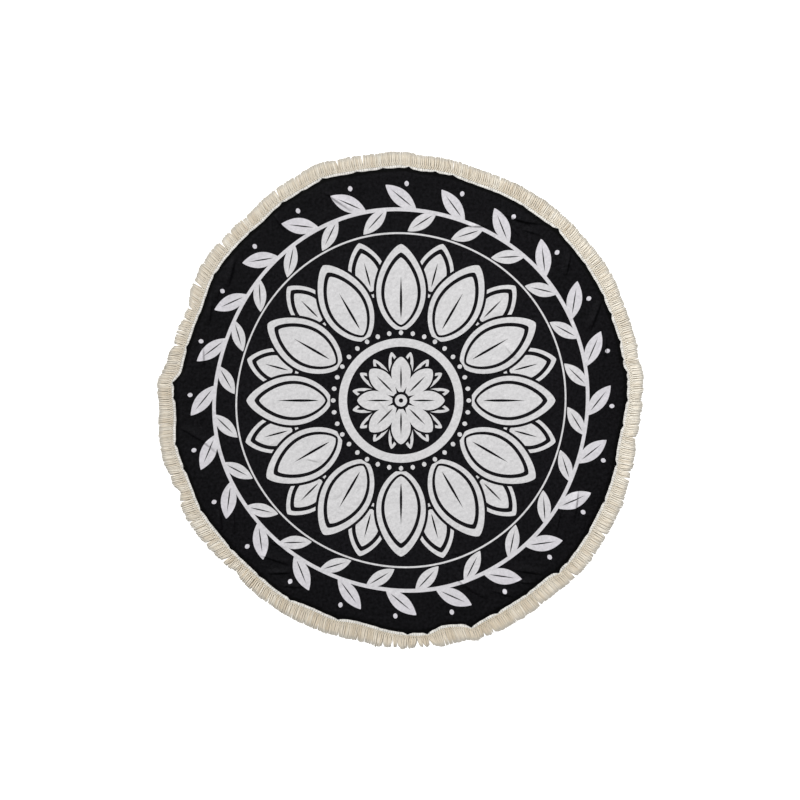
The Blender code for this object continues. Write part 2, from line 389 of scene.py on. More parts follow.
# A plain medallion in the old block-printed manner: a rosette, a ring of broad lotus petals and a wreath
MEDALLION = (
    Motifs(16, 92, 118, 17, 1.25, 0.62, turn=0.5),
    Motifs(16, 100, 76, 7, 1.25, 0.62, turn=0.5, ink=Ink.GROUND),
    Motifs(8, 78, 128, 35, 1.2, 0.62, ink=Ink.GROUND),
    Motifs(8, 77, 114, 30, 1.2, 0.62),
    Motifs(8, 72, 74, 3, 0.8, 1.0, ink=Ink.GROUND),
    Band(0, 27, Ink.GROUND),
    Band(0, 19),
    Band(0, 7, Ink.GROUND),
    Band(178, 13),
    Motifs(12, 410, 168, 57, 0.86, 0.72, turn=0.5),
    Motifs(12, 407, 142, 47, 0.86, 0.72, turn=0.5, ink=Ink.GROUND),
    Motifs(12, 404, 118, 36, 0.86, 0.74, turn=0.5),
    Motifs(12, 398, 80, 3, 0.8, 1.0, turn=0.5, ink=Ink.GROUND),
    Motifs(12, 346, 278, 84, 0.9, 0.66, ink=Ink.GROUND),
    Motifs(12, 344, 264, 76, 0.9, 0.66),
    Motifs(12, 338, 226, 61, 0.92, 0.68, ink=Ink.GROUND),
    Motifs(12, 334, 204, 51, 0.94, 0.7),
    Motifs(12, 318, 132, 4, 0.75, 1.0, ink=Ink.GROUND),
    Band(208, 10, Ink.GROUND),
    Motifs(36, 208, 15, 7, point=0.5),
    Band(508, 3),
    Motifs(24, 613, 118, 24, 1.0, 0.82, tilt=52),
    Motifs(24, 546, 104, 21, 1.0, 0.82, tilt=129, turn=0.45),
    Motifs(24, 613, 84, 2.2, 0.8, 1.0, tilt=52, ink=Ink.GROUND),
    Motifs(24, 546, 76, 2.2, 0.8, 1.0, tilt=129, turn=0.45, ink=Ink.GROUND),
    Band(578, 6),
    Motifs(24, 655, 16, 7, point=0.5, turn=0.1),
)


@dataclass(frozen=True)
class PrintedCotton(Finish):
    """Plain-weave cotton, dyed black, screen-printed in off-white: matt, with a dry ink that dulls the weave.

    Attributes:
        name: The material's name.
        ground: The dyed cloth.
        faded: The dyed cloth where the dye took less.
        hem_shade: The dyed cloth by its hem, darkened as painted shade where the cloth slopes down under the
            tape.
        ink: The ink.
        cool_ink: The ink towards the rim, where it dried a little cooler.
        strike: How much of the ink shows on this side.
        thread: The spacing of the threads. The real one is 0.4 mm, drawn coarser so that it shows.
        slub: The length of the uneven stretches of thread.
        edge: How soft the print's edge is.
        patch: The breadth of the stretches where the dye took unevenly.
        lint: The breadth of the specks that lint and wear leave on the dyed threads.
        rumples: The breadth and the height of each size of the fine rumples that lying cloth keeps.
        hem_shading: How the dyed cloth is darkened towards its hem, as painted shade where it slopes down
            under the tape and more faintly over a broad band inside it: two distances inside it, and the
            share at the first.
        wear: How dark and how bright the lint's specks are, as multiples of the dyed cloth.
        cooling: Between which distances from the centre the ink turns cooler.
        dryness: How pale the ink is, least and most, from thread to thread and from speck to speck.
        motif_sockets: The inputs of the node group that draws a ring of motifs.
        band_sockets: The same of the one that draws a plain ring.
    """

    name: str = "printed plain-weave cotton"
    ground: str = "#0E0E10"
    faded: str = "#141316"
    hem_shade: str = "#040404"
    ink: str = "#CDCCCD"
    cool_ink: str = "#CCC9CF"
    strike: float = 1.0
    thread: float = 1.3
    slub: float = 9.0
    edge: float = 0.6
    patch: float = 91.0
    lint: float = 9.0
    rumples: ClassVar[tuple[tuple[float, float], ...]] = ((42.0, 1.3), (15.0, 0.6), (6.5, 0.24))
    hem_shading: ClassVar[tuple[tuple[float, float, float], ...]] = ((6.0, 16.0, 0.95), (30.0, 260.0, 0.3))
    wear: ClassVar[tuple[float, float]] = (0.25, 1.85)
    cooling: ClassVar[tuple[float, float]] = (480.0, 700.0)
    dryness: ClassVar[tuple[tuple[float, float], ...]] = ((0.88, 1.06), (0.9, 1.09))
    motif_sockets: ClassVar[tuple[str, ...]] = (
        "Turns", "Distance", "Count", "Radius", "Length", "Half width", "Belly", "Point", "Tilt", "Turn",
    )
    band_sockets: ClassVar[tuple[str, ...]] = ("Turns", "Distance", "Radius", "Half width")

    def _open(self, name: str, sockets: tuple[str, ...]) -> Any:
        """Starts a node group that draws a shape of the print.

        Args:
            name: Its name.
            sockets: Its inputs.

        Returns:
            The group, with two outputs.
        """
        inputs = {socket: ("NodeSocketFloat", 0.0) for socket in sockets}
        outputs = {"Inside": "NodeSocketFloat", "Outside": "NodeSocketFloat"}
        return new_group(name, "ShaderNodeTree", inputs, outputs)

    def _close(self, tree: Any, depth: Any) -> None:
        """Ends such a group with how far a place counts as inside the shape, and how far as outside.

        Args:
            tree: The group.
            depth: How deep inside the shape the place is.
        """
        inside = add(tree, "ShaderNodeMath", depth, self.edge, operation="DIVIDE", use_clamp=True)
        outside = add(tree, "ShaderNodeMath", 1.0, inside, operation="SUBTRACT")
        add(tree, "NodeGroupOutput", inside, outside)

    def band_group(self) -> Any:
        """Makes the node group that draws a plain ring."""
        tree = self._open("print_band", self.band_sockets)
        given = add(tree, "NodeGroupInput").outputs
        off = add(tree, "ShaderNodeMath", given["Distance"], given["Radius"], operation="SUBTRACT")
        away = add(tree, "ShaderNodeMath", off, operation="ABSOLUTE")
        self._close(tree, add(tree, "ShaderNodeMath", given["Half width"], away, operation="SUBTRACT"))
        return tree

    def motif_group(self) -> Any:
        """Makes the node group that draws a ring of motifs.

        Returns:
            The group. It folds the circle into one sector a motif, turns the place into distances along and
            across the motif's own axis, and compares the second with the motif's half width there.
        """
        tree = self._open("print_motifs", self.motif_sockets)
        given = add(tree, "NodeGroupInput").outputs
        turns, count, turn = given["Turns"], given["Count"], given["Turn"]
        spread = add(tree, "ShaderNodeMath", turns, count, turn, operation="MULTIPLY_ADD")
        centred = add(tree, "ShaderNodeMath", spread, 0.5, operation="ADD")
        sector = add(tree, "ShaderNodeMath", centred, operation="FRACT")
        folded = add(tree, "ShaderNodeMath", sector, 0.5, operation="SUBTRACT")
        share = add(tree, "ShaderNodeMath", folded, count, operation="DIVIDE")
        angle = add(tree, "ShaderNodeMath", share, math.tau, operation="MULTIPLY")
        aside, reach = (
            add(tree, "ShaderNodeMath", given["Distance"], part, operation="MULTIPLY")
            for part in (add(tree, "ShaderNodeMath", angle, operation=name) for name in ("SINE", "COSINE"))
        )
        ahead = add(tree, "ShaderNodeMath", reach, given["Radius"], operation="SUBTRACT")
        local = add(tree, "ShaderNodeCombineXYZ", aside, ahead, 0.0)
        tilt = {"Angle": given["Tilt"]}
        leant = add(tree, "ShaderNodeVectorRotate", local, named=tilt, rotation_type="Z_AXIS")
        axes = add(tree, "ShaderNodeSeparateXYZ", leant).outputs
        along = add(tree, "ShaderNodeMath", axes["Y"], given["Length"], operation="DIVIDE")
        place = add(tree, "ShaderNodeMath", along, 0.5, operation="ADD", use_clamp=True)
        bellied = add(tree, "ShaderNodeMath", place, given["Belly"], operation="POWER")
        swing = add(tree, "ShaderNodeMath", bellied, math.pi, operation="MULTIPLY")
        bulge = add(tree, "ShaderNodeMath", swing, operation="SINE", use_clamp=True)
        profile = add(tree, "ShaderNodeMath", bulge, given["Point"], operation="POWER")
        across = add(tree, "ShaderNodeMath", axes["X"], operation="ABSOLUTE")
        half = add(tree, "ShaderNodeMath", profile, given["Half width"], operation="MULTIPLY")
        self._close(tree, add(tree, "ShaderNodeMath", half, across, operation="SUBTRACT"))
        return tree

    def printed(self, tree: Any, place: Any, distance: Any) -> Any:
        """Lays the medallion down, layer on layer.

        Args:
            tree: The material's tree.
            place: The place on the flat cloth, in millimetres.
            distance: Its distance from the centre.

        Returns:
            The node that says how much ink there is.
        """
        axes = add(tree, "ShaderNodeSeparateXYZ", place).outputs
        angle = add(tree, "ShaderNodeMath", axes["Y"], axes["X"], operation="ARCTAN2")
        turns = add(tree, "ShaderNodeMath", angle, math.tau, operation="DIVIDE")
        groups = {Band: self.band_group(), Motifs: self.motif_group()}
        ink: Any = 0.0
        for layer in MEDALLION:
            sockets = {"Turns": turns, "Distance": distance, **layer.inputs()}
            shape = add(tree, "ShaderNodeGroup", named=sockets, node_tree=groups[type(layer)])
            side = "Inside" if layer.ink is Ink.PRINT else "Outside"
            ink = add(tree, "ShaderNodeMath", ink, shape.outputs[side], operation=layer.ink.value)
        return ink

    def shading(self, tree: Any) -> dict[str, Any]:
        """Adds the finish's nodes, which read the place on the flat cloth from the cloth's own attribute."""
        flat = add(tree, "ShaderNodeAttribute", attribute_name="flat_place").outputs["Vector"]
        place = add(tree, "ShaderNodeVectorMath", flat, (1.0 / MM,) * 3, operation="MULTIPLY")
        distance = add(tree, "ShaderNodeVectorMath", place, operation="LENGTH")
        # Threads: two crossing waves, with slubs that thicken them here and there
        axes = add(tree, "ShaderNodeSeparateXYZ", place).outputs
        fine, coarse = 1.0 / self.thread, 1.0 / self.slub
        waves, slubs = [], []
        for axis, stretch in (("X", (coarse, fine, 1.0)), ("Y", (fine, coarse, 1.0))):
            phase = add(tree, "ShaderNodeMath", axes[axis], math.tau / self.thread, operation="MULTIPLY")
            waves.append(add(tree, "ShaderNodeMath", phase, operation="SINE"))
            stretched = add(tree, "ShaderNodeVectorMath", place, stretch, operation="MULTIPLY")
            slubs.append(add(tree, "ShaderNodeTexNoise", stretched, named={"Scale": 1.0, "Detail": 2.0}))
        weave = add(tree, "ShaderNodeMath", *waves, operation="MULTIPLY")
        slub = add(tree, "ShaderNodeMath", *slubs, operation="ADD")
        # Dye that took unevenly, and painted shade towards the hem, where the cloth slopes down under the
        # tape
        stretches = {"Scale": 1.0 / self.patch, "Detail": 3.0, "Roughness": 0.6}
        uneven = add(tree, "ShaderNodeTexNoise", place, named=stretches)
        dyes = {0: uneven, 6: linear(self.ground), 7: linear(self.faded)}
        dyed = add(tree, "ShaderNodeMix", named=dyes, data_type="RGBA")
        inside = add(tree, "ShaderNodeAttribute", attribute_name="inside").outputs["Fac"]
        sinks = []
        for near, far, share in self.hem_shading:
            values = (inside, near * MM, far * MM, share, 0.0)
            sinks.append(add(tree, "ShaderNodeMapRange", *values, interpolation_type="SMOOTHSTEP"))
        sunk_in_shade = add(tree, "ShaderNodeMath", *sinks, operation="MAXIMUM")
        # Painted shade: the dyed cloth darkened towards its hem colour
        hem_shaded = {0: sunk_in_shade, 6: dyed, 7: linear(self.hem_shade)}
        ground = add(tree, "ShaderNodeMix", named=hem_shaded, data_type="RGBA")
        # Lint and wear, which speckle the dyed threads
        specks = {"Scale": 1.0 / self.lint, "Detail": 3.0, "Roughness": 0.7}
        lint = add(tree, "ShaderNodeTexNoise", place, named=specks)
        worn = add(tree, "ShaderNodeMapRange", lint, 0.3, 0.7, *self.wear)
        ground = add(tree, "ShaderNodeVectorMath", ground, operation="SCALE", named={"Scale": worn})
        # Ink that is cooler towards the rim, and thinner between the threads and where lint took it
        values = (distance, *self.cooling, 0.0, 1.0)
        rim = add(tree, "ShaderNodeMapRange", *values, interpolation_type="SMOOTHSTEP")
        inks = {0: rim, 6: linear(self.ink), 7: linear(self.cool_ink)}
        ink = add(tree, "ShaderNodeMix", named=inks, data_type="RGBA")
        grain = add(tree, "ShaderNodeMapRange", slub, 0.7, 1.3, *self.dryness[0])
        specked = add(tree, "ShaderNodeMapRange", lint, 0.3, 0.7, *self.dryness[1])
        dry = add(tree, "ShaderNodeMath", grain, specked, operation="MULTIPLY")
        inked = add(tree, "ShaderNodeVectorMath", ink, operation="SCALE", named={"Scale": dry})
        printed = self.printed(tree, place, distance)
        cover = add(tree, "ShaderNodeMath", printed, self.strike, operation="MULTIPLY")
        colour = add(tree, "ShaderNodeMix", named={0: cover, 6: ground, 7: inked}, data_type="RGBA")
        # Relief: the threads, and the rumples on top
        threads = add(tree, "ShaderNodeMath", slub, 1.5, weave, operation="MULTIPLY_ADD")
        height = add(tree, "ShaderNodeMath", threads, 0.05, operation="MULTIPLY")
        for breadth, high in self.rumples:
            size = {"Scale": 1.0 / breadth, "Detail": 1.0, "Distortion": 0.6}
            rumple = add(tree, "ShaderNodeTexNoise", place, named=size)
            height = add(tree, "ShaderNodeMath", rumple, 2.0 * high, height, operation="MULTIPLY_ADD")
        bump = add(tree, "ShaderNodeBump", named={"Height": height, "Distance": MM, "Strength": 1.0})
        return {"Base Color": colour, "Normal": bump, "Roughness": 0.6, "Specular IOR Level": 0.04}


@dataclass(frozen=True)
class WovenTape(Finish):
    """White cotton tape, shuttle-woven: fine slanting ribs, with painted shade in their furrows, in its
    puckers and where the knotted yarns cover it.

    Attributes:
        name: The material's name.
        pale: The crests of its ribs.
        deep: Painted shade in the furrows between them and in the puckers, and the darker of its uneven
            patches.
        shaded: Painted shade on it where it shows through the holes of the yarns.
        rib: The spacing of the ribs. The real one is 0.9 mm, drawn coarser so that it shows.
        pucker: The spacing of the small puckers that each stitch draws in.
        mottle: The breadth of its uneven patches.
        relief: How deep the furrows are.
    """

    name: str = "white cotton twill tape"
    pale: str = "#F0EDE7"
    deep: str = "#A8A59F"
    shaded: str = "#787264"
    rib: float = 1.9
    pucker: float = 7.3
    mottle: float = 8.0
    relief: float = 0.25

    def shading(self, tree: Any) -> dict[str, Any]:
        """Adds the finish's nodes, which read how far along and across the tape a place is."""
        along, across = (
            add(tree, "ShaderNodeAttribute", attribute_name=name).outputs["Fac"]
            for name in ("along", "across")
        )
        half = HeadingTape.width / 2.0
        slanted = add(tree, "ShaderNodeMath", across, half, along, operation="MULTIPLY_ADD")
        waves = []
        for length, pitch in ((slanted, self.rib), (along, self.pucker)):
            phase = add(tree, "ShaderNodeMath", length, math.tau / (pitch * MM), operation="MULTIPLY")
            waves.append(add(tree, "ShaderNodeMath", phase, operation="SINE"))
        ribs, puckers = waves
        position = add(tree, "ShaderNodeTexCoord").outputs["Object"]
        patches = {"Scale": 1.0 / (self.mottle * MM), "Detail": 3.0}
        mottled = add(tree, "ShaderNodeTexNoise", position, named=patches)
        uneven = add(tree, "ShaderNodeMath", mottled, 7.0, puckers, operation="MULTIPLY_ADD")
        level = add(tree, "ShaderNodeMath", ribs, 0.7, uneven, operation="MULTIPLY_ADD")
        # Painted shade in the rib furrows and puckers, over the tape's real uneven patches
        shade = add(tree, "ShaderNodeMapRange", level, 1.4, 5.1, 0.0, 1.0)
        lit_and_shaded = {0: shade, 6: linear(self.deep), 7: linear(self.pale)}
        woven = add(tree, "ShaderNodeMix", named=lit_and_shaded, data_type="RGBA")
        # Painted shade where the knotted yarns cover the tape
        edge = 2.0 * HeadingTape.white / HeadingTape.width - 1.0
        hole_shade_mask = add(tree, "ShaderNodeMapRange", across, edge - 0.04, edge + 0.04, 0.0, 1.0)
        hole_shading = {0: hole_shade_mask, 6: woven, 7: linear(self.shaded)}
        colour = add(tree, "ShaderNodeMix", named=hole_shading, data_type="RGBA")
        relief = {"Height": level, "Distance": self.relief * MM / 2.0, "Strength": 0.8}
        return {
            "Base Color": colour,
            "Normal": add(tree, "ShaderNodeBump", named=relief),
            "Roughness": 0.85,
            "Specular IOR Level": 0.2,
            "Sheen Weight": 0.1,
        }


@dataclass(frozen=True)
class CottonYarn(Finish):
    """Undyed cotton yarn, carded and plied: cream, with painted shade in the spiral furrow between its plies,
    along the lower yarns from their roots and on the cut ends.

    Attributes:
        name: The material's name.
        cream: The paler yarns.
        ecru: The browner yarns.
        furrow: Painted shade in the furrows between the plies, and along the lower yarns from their roots.
        tip: Painted shade on the cut ends, where the plies open and catch less light.
        plies: How many plies are twisted together.
        twist: The length of one full turn.
        fuzz: The breadth of the loose fibres' tufts. Single fibres are far too fine to show.
        relief: How deep the furrows are.
    """

    name: str = "plied cotton yarn"
    cream: str = "#F6F0E3"
    ecru: str = "#E0D4C0"
    furrow: str = "#8C8373"
    tip: str = "#B8B4AB"
    plies: int = 2
    twist: float = 8.0
    fuzz: float = 1.11
    relief: float = 0.3

    def shading(self, tree: Any) -> dict[str, Any]:
        """Adds the finish's nodes, which read how far along and round its yarn a place is."""
        along, share, shade, sunk_in_shade = (
            add(tree, "ShaderNodeAttribute", attribute_name=name).outputs["Fac"]
            for name in ("along", "share", "shade", "sunk_in_shade")
        )
        round_it = add(tree, "ShaderNodeAttribute", attribute_name="around").outputs["Vector"]
        axes = add(tree, "ShaderNodeSeparateXYZ", round_it).outputs
        angle = add(tree, "ShaderNodeMath", axes["Y"], axes["X"], operation="ARCTAN2")
        rate = math.tau / (self.twist * MM)
        turned_by = add(tree, "ShaderNodeMath", along, rate, angle, operation="MULTIPLY_ADD")
        phase = add(tree, "ShaderNodeMath", turned_by, self.plies / 2.0, operation="MULTIPLY")
        swing = add(tree, "ShaderNodeMath", phase, operation="SINE")
        ridge = add(tree, "ShaderNodeMath", swing, operation="ABSOLUTE")
        position = add(tree, "ShaderNodeTexCoord").outputs["Object"]
        tufts = {"Scale": 1.0 / (self.fuzz * MM), "Detail": 2.0}
        fibres = add(tree, "ShaderNodeTexNoise", position, named=tufts)
        height = add(tree, "ShaderNodeMath", fibres, 0.35, ridge, operation="MULTIPLY_ADD")
        # Painted shade along the lower yarns from their roots and in the furrows between the plies, and on
        # the cut ends
        root_shade, groove_shade, tip_shade = (
            add(tree, "ShaderNodeMapRange", *values, interpolation_type="SMOOTHSTEP")
            for values in (
                (share, 0.1, 0.8, 0.75, 0.25),
                (ridge, 0.0, 0.55, 0.7, 0.0),
                (share, 0.62, 1.0, 0.0, 0.8),
            )
        )
        root = add(tree, "ShaderNodeMath", root_shade, sunk_in_shade, operation="MULTIPLY")
        depth = add(tree, "ShaderNodeMath", root, groove_shade, operation="MAXIMUM")
        creams = {0: shade, 6: linear(self.cream), 7: linear(self.ecru)}
        colour = add(tree, "ShaderNodeMix", named=creams, data_type="RGBA", clamp_factor=False)
        # Mixes in the furrow colour, then the tip colour, both painted shade
        for much, other in ((depth, self.furrow), (tip_shade, self.tip)):
            mixed = {0: much, 6: colour, 7: linear(other)}
            colour = add(tree, "ShaderNodeMix", named=mixed, data_type="RGBA")
        relief = {"Height": height, "Distance": self.relief * MM, "Strength": 0.9}
        return {
            "Base Color": colour,
            "Normal": add(tree, "ShaderNodeBump", named=relief),
            "Roughness": 0.88,
            "Specular IOR Level": 0.2,
            "Sheen Weight": 0.15,
        }


@dataclass(frozen=True)
class SewingThread(Finish):
    """Spun polyester thread: a fine, slightly shiny twist.

    Attributes:
        name: The material's name.
        colour: The thread.
        shadow: Its furrows.
        fuzz: The breadth of its fuzz.
    """

    name: str
    colour: str
    shadow: str
    fuzz: float = 0.667

    def shading(self, tree: Any) -> dict[str, Any]:
        """Adds the finish's nodes: fine fuzz that shades the twist."""
        position = add(tree, "ShaderNodeTexCoord").outputs["Object"]
        tufts = {"Scale": 1.0 / (self.fuzz * MM), "Detail": 1.0}
        fuzz = add(tree, "ShaderNodeTexNoise", position, named=tufts)
        shades = {0: fuzz, 6: linear(self.shadow), 7: linear(self.colour)}
        return {
            "Base Color": add(tree, "ShaderNodeMix", named=shades, data_type="RGBA"),
            "Normal": add(tree, "ShaderNodeBump", named={"Height": fuzz, "Distance": 0.1 * MM}),
            "Roughness": 0.6,
            "Specular IOR Level": 0.3,
        }


@dataclass(frozen=True)
class LightTable(Finish):
    """Opal acrylic sheet, lit a little from beneath: plain, pale and nearly without shadows.

    Attributes:
        name: The material's name.
        colour: The sheet.
        glow: How brightly it shines by itself.
    """

    name: str = "opal acrylic"
    colour: str = "#F2F2F2"
    glow: float = 0.6

    def shading(self, tree: Any) -> dict[str, Any]:
        """Gives the shader's values, which are the same all over."""
        return {
            "Base Color": linear(self.colour),
            "Roughness": 0.95,
            "Specular IOR Level": 0.0,
            "Emission Color": (1.0, 1.0, 1.0, 1.0),
            "Emission Strength": self.glow,
        }


# --------------------------------------------------------------------------------------------------- cloth


@dataclass(frozen=True)
class Crease:
    """A soft ridge that the cloth keeps from how it was laid or folded, gentle on one side and steep behind.

    Attributes:
        x: The middle of its steep side.
        y: The same, upwards in the plan.
        run: The bearing that it runs along.
        long: Its length.
        wide: Its width at half height.
        high: Its height.
        bow: How far its middle bulges to the left of its run.
        GENTLE: The width of its gentle side, on the upper left, as a multiple of its own.
        STEEP: The same of its steep side.
        RISE: How many times its listed height its crest rises.
        CREST: Where its crest lies beside the middle of its steep side.
        FADE: How many times its length its ends run out over.
        FULL: How full its arch is from end to end: under 1 is fuller.
    """

    x: float
    y: float
    run: float
    long: float
    wide: float
    high: float
    bow: float = 0.0

    GENTLE: ClassVar[float] = 1.7
    STEEP: ClassVar[float] = 0.55
    RISE: ClassVar[float] = 1.5
    CREST: ClassVar[tuple[float, float]] = (-3.0, 4.2)
    FADE: ClassVar[float] = 1.12
    FULL: ClassVar[float] = 0.7

    def _place(self, points: np.ndarray) -> tuple[np.ndarray, np.ndarray]:
        """Gives how high the crease arches where each point is, and how far aside of its crest that is.

        Args:
            points: The places, as rows of x and y.

        Returns:
            The arch, from 0 at its ends to 1, and the distance, positive on the upper left, in millimetres.
        """
        turn = math.radians(self.run)
        ahead = np.array([math.cos(turn), math.sin(turn)])
        left = np.array([-math.sin(turn), math.cos(turn)])
        away = (points - LAID_ABOUT) / MM - (self.x + self.CREST[0], self.y + self.CREST[1])
        arch = np.sin(math.pi * np.clip((away @ ahead) / (self.FADE * self.long) + 0.5, 0.0, 1.0))
        return arch**self.FULL, (away @ left - self.bow * arch) * np.sign(left @ self.CREST)

    def lift(self, points: np.ndarray) -> np.ndarray:
        """Gives the height that the crease adds at each point, in metres."""
        arch, aside = self._place(points)
        across = np.clip(aside / (np.where(aside > 0.0, self.GENTLE, self.STEEP) * self.wide), -1.0, 1.0)
        return self.high * self.RISE * MM * arch * np.cos(math.pi / 2.0 * across) ** 2

    def is_steep(self, points: np.ndarray) -> np.ndarray:
        """Says which points lie on the crest or on its steep side, where the mesh has to be finest."""
        arch, aside = self._place(points)
        by_crest = (aside < 0.4 * self.GENTLE * self.wide) & (aside > -self.STEEP * self.wide - 2.5)
        return (arch > 0.05) & by_crest


# The creases, counter-clockwise round the cloth. Those 10 mm wide and over are also in the solid
CREASES = (
    Crease(630, 161, 88, 66, 10, 3.8),
    Crease(600, 258, 69, 96, 12, 4.6),
    Crease(337, 146, -54, 48, 10, 3.0),
    Crease(514, 411, 78, 62, 12, 4.2),
    Crease(376, 557, -14, 128, 13, 4.2, bow=-10),
    Crease(351, 517, -53, 34, 9, 2.4),
    Crease(403, 512, -16, 48, 8, 2.6),
    Crease(240, 531, 0, 54, 10, 3.2),
    Crease(-189, 606, -34, 92, 12, 4.6),
    Crease(-370, 541, -54, 56, 10, 3.8),
    Crease(-517, 387, 76, 76, 12, 4.8),
    Crease(-556, 328, 73, 36, 8, 2.6),
    Crease(-582, 262, 83, 56, 10, 3.6),
    Crease(-604, 129, 93, 58, 10, 4.2),
    Crease(-611, -130, -34, 132, 13, 4.8, bow=6),
    Crease(-612, -52, -70, 38, 8, 2.4),
    Crease(-268, -187, -14, 42, 8, 1.8),
    Crease(-551, -370, -80, 54, 10, 4.0),
    Crease(-509, -379, -87, 68, 9, 2.8),
    Crease(-382, -492, -18, 92, 12, 4.2),
    Crease(-379, -445, -23, 42, 8, 2.2),
    Crease(-372, -532, 2, 70, 10, 3.6),
    Crease(-330, -574, -3, 62, 9, 2.8),
    Crease(-50, -22, -52, 48, 10, 2.6),
    Crease(172, -475, -5, 38, 8, 2.0),
    Crease(212, -572, -36, 122, 13, 4.6, bow=-5),
    Crease(316, -596, -16, 64, 10, 4.0),
    Crease(396, -529, -8, 88, 12, 4.2),
    Crease(388, -563, -6, 58, 8, 2.6),
    Crease(485, -374, 81, 60, 9, 2.8),
    Crease(538, -327, 83, 98, 12, 4.6),
    Crease(589, -302, -58, 32, 8, 2.4),
)


@dataclass(frozen=True)
class Swell:
    """A long, low wave of the lying cloth.

    Attributes:
        run: The bearing that it travels along.
        long: Its wavelength.
        high: Its height.
        start: Its phase, in turns.
    """

    run: float
    long: float
    high: float
    start: float

    def lift(self, points: np.ndarray) -> np.ndarray:
        """Gives the height that the swell adds at each point, in millimetres."""
        turn = math.radians(self.run)
        phase = (points / MM) @ np.array([math.cos(turn), math.sin(turn)]) / self.long + self.start
        return self.high * np.sin(math.tau * phase) + self.high


SWELLS = (
    Swell(12, 410, 0.9, 0.1),
    Swell(74, 330, 0.8, 0.6),
    Swell(131, 260, 0.6, 0.35),
    Swell(158, 190, 0.4, 0.8),
    Swell(43, 150, 0.3, 0.2),
    Swell(101, 118, 0.25, 0.5),
)


@dataclass
class PrintedCloth:
    """The towel's cotton disc, lying on its creases, with its edge under the tape.

    Attributes:
        hem: The hem line.
        tape: The tape that its edge is sewn under.
        face: The finish of its upper side.
        back: The finish of its underside.
        thick: Its thickness.
        tuck: How far its edge runs on under the tape.
        follow: How far it also follows the tape's corners outwards, as a share.
        rim_points: How many points its edge has.
        field_step: The spacing of its points over the open field.
        rim_step: The same near the rim.
        crease_step: The same on a crease.
        rim_zone: The share of the hem's radius where the rim begins.
        puckers: How many puckers the sewn edge draws in.
        level: How far inside the hem the tape holds the cloth down.
        rise: Over how much more its height comes back.
        seed: What fixes the puckers.
    """

    hem: Hem
    tape: "HeadingTape"
    face: PrintedCotton = field(default_factory=PrintedCotton)
    back: PrintedCotton = field(
        default_factory=lambda: PrintedCotton(name="reverse of printed cotton", ground="#151416", strike=0.1)
    )
    thick: float = 1.0 * MM
    tuck: float = 6.0 * MM
    follow: float = 0.45
    rim_points: int = 900
    field_step: float = 11.5 * MM
    rim_step: float = 6.4 * MM
    crease_step: float = 2.0 * MM
    rim_zone: float = 0.82
    puckers: int = 150
    level: float = 3.0 * MM
    rise: float = 19.0 * MM
    seed: int = 7

    def __post_init__(self) -> None:
        """Draws the puckers."""
        draw = np.random.default_rng(self.seed)
        drift = draw.uniform(-0.4, 0.4, self.puckers)
        self.pucker_bearings = (np.arange(self.puckers) + drift) * 360.0 / self.puckers
        self.pucker_long = draw.uniform(22.0, 70.0, self.puckers) * MM
        self.pucker_high = draw.uniform(0.1, 1.0, self.puckers) ** 1.6 * 1.5 * MM
        self.pucker_wide = draw.uniform(3.5, 7.0, self.puckers) * MM

    def _polar(self, points: np.ndarray) -> tuple[np.ndarray, np.ndarray, np.ndarray]:
        """Gives each point's bearing, its distance from the centre and how far it is inside the hem."""
        away = points - LAID_ABOUT
        bearings = np.degrees(np.arctan2(away[:, 1], away[:, 0])) % 360.0
        distances = np.hypot(away[:, 0], away[:, 1])
        return bearings, distances, self.hem.radius(bearings) - distances

    def lift(self, points: np.ndarray) -> np.ndarray:
        """Gives the height of the cloth's underside at each point.

        Args:
            points: The places, as rows of x and y.

        Returns:
            The heights. They are nothing at the sewn edge, where the tape holds the cloth down.
        """
        bearings, _, inside = self._polar(points)
        height = sum(crease.lift(points) for crease in CREASES)
        for bearing, long, high, wide in zip(
            self.pucker_bearings, self.pucker_long, self.pucker_high, self.pucker_wide
        ):
            aside = np.radians(turned(bearings, bearing)) * self.hem.mean() / wide
            fade = np.clip(1.0 - inside / long, 0.0, 1.0)
            height = height + high * np.exp(-(aside**2)) * fade**2
        waves = sum(swell.lift(points) for swell in SWELLS)
        return (height + waves * MM * 0.5) * smooth_step((inside - self.level) / self.rise)

    def _grid(self, step: float) -> np.ndarray:
        """Lays a triangular grid over the whole disc."""
        reach = self.hem.mean() * 1.1
        rows = np.arange(-reach, reach, step * math.sqrt(0.75))
        columns = np.arange(-reach, reach, step)
        y, x = np.meshgrid(rows, columns, indexing="ij")
        x = x + (np.arange(len(rows)) % 2)[:, None] * step / 2.0
        return np.stack([x.ravel(), y.ravel()], axis=1)

    def _places(self) -> np.ndarray:
        """Picks the mesh's points: the edge, then a field that is finer at the rim and finest on creases."""
        bearings = np.arange(self.rim_points) * 360.0 / self.rim_points
        # The edge lies further out at a corner of the tape, so that the corner is full of cloth
        reach = self.tuck + self.follow * self.tape.poke(bearings)
        chosen = [self.hem.path(bearings, reach, 0.0)[:, :2]]
        for finest, step in enumerate((self.field_step, self.rim_step, self.crease_step)):
            grid = self._grid(step)
            _, distances, inside = self._polar(grid)
            on_crease = np.any([crease.is_steep(grid) for crease in CREASES], axis=0)
            by_crease = sum(crease.lift(grid) for crease in CREASES) > 0.3 * MM
            near_rim = (distances > self.rim_zone * self.hem.mean()) | by_crease
            level = np.where(on_crease, 2, np.where(near_rim, 1, 0))
            chosen.append(grid[(level == finest) & (inside > -self.tuck + 0.6 * self.rim_step)])
        return np.concatenate(chosen)

    def _flat(self, points: np.ndarray) -> np.ndarray:
        """Finds where each point was on the flat cloth, before the rim was pulled in and out."""
        bearings, distances, _ = self._polar(points)
        pull = smooth_step((distances / self.hem.mean() - 0.4) / 0.6)
        even = 1.0 + pull * (self.hem.mean() / self.hem.eased_radius(bearings) - 1.0)
        return np.column_stack([(points - LAID_ABOUT) * even[:, None], np.zeros(len(points))])

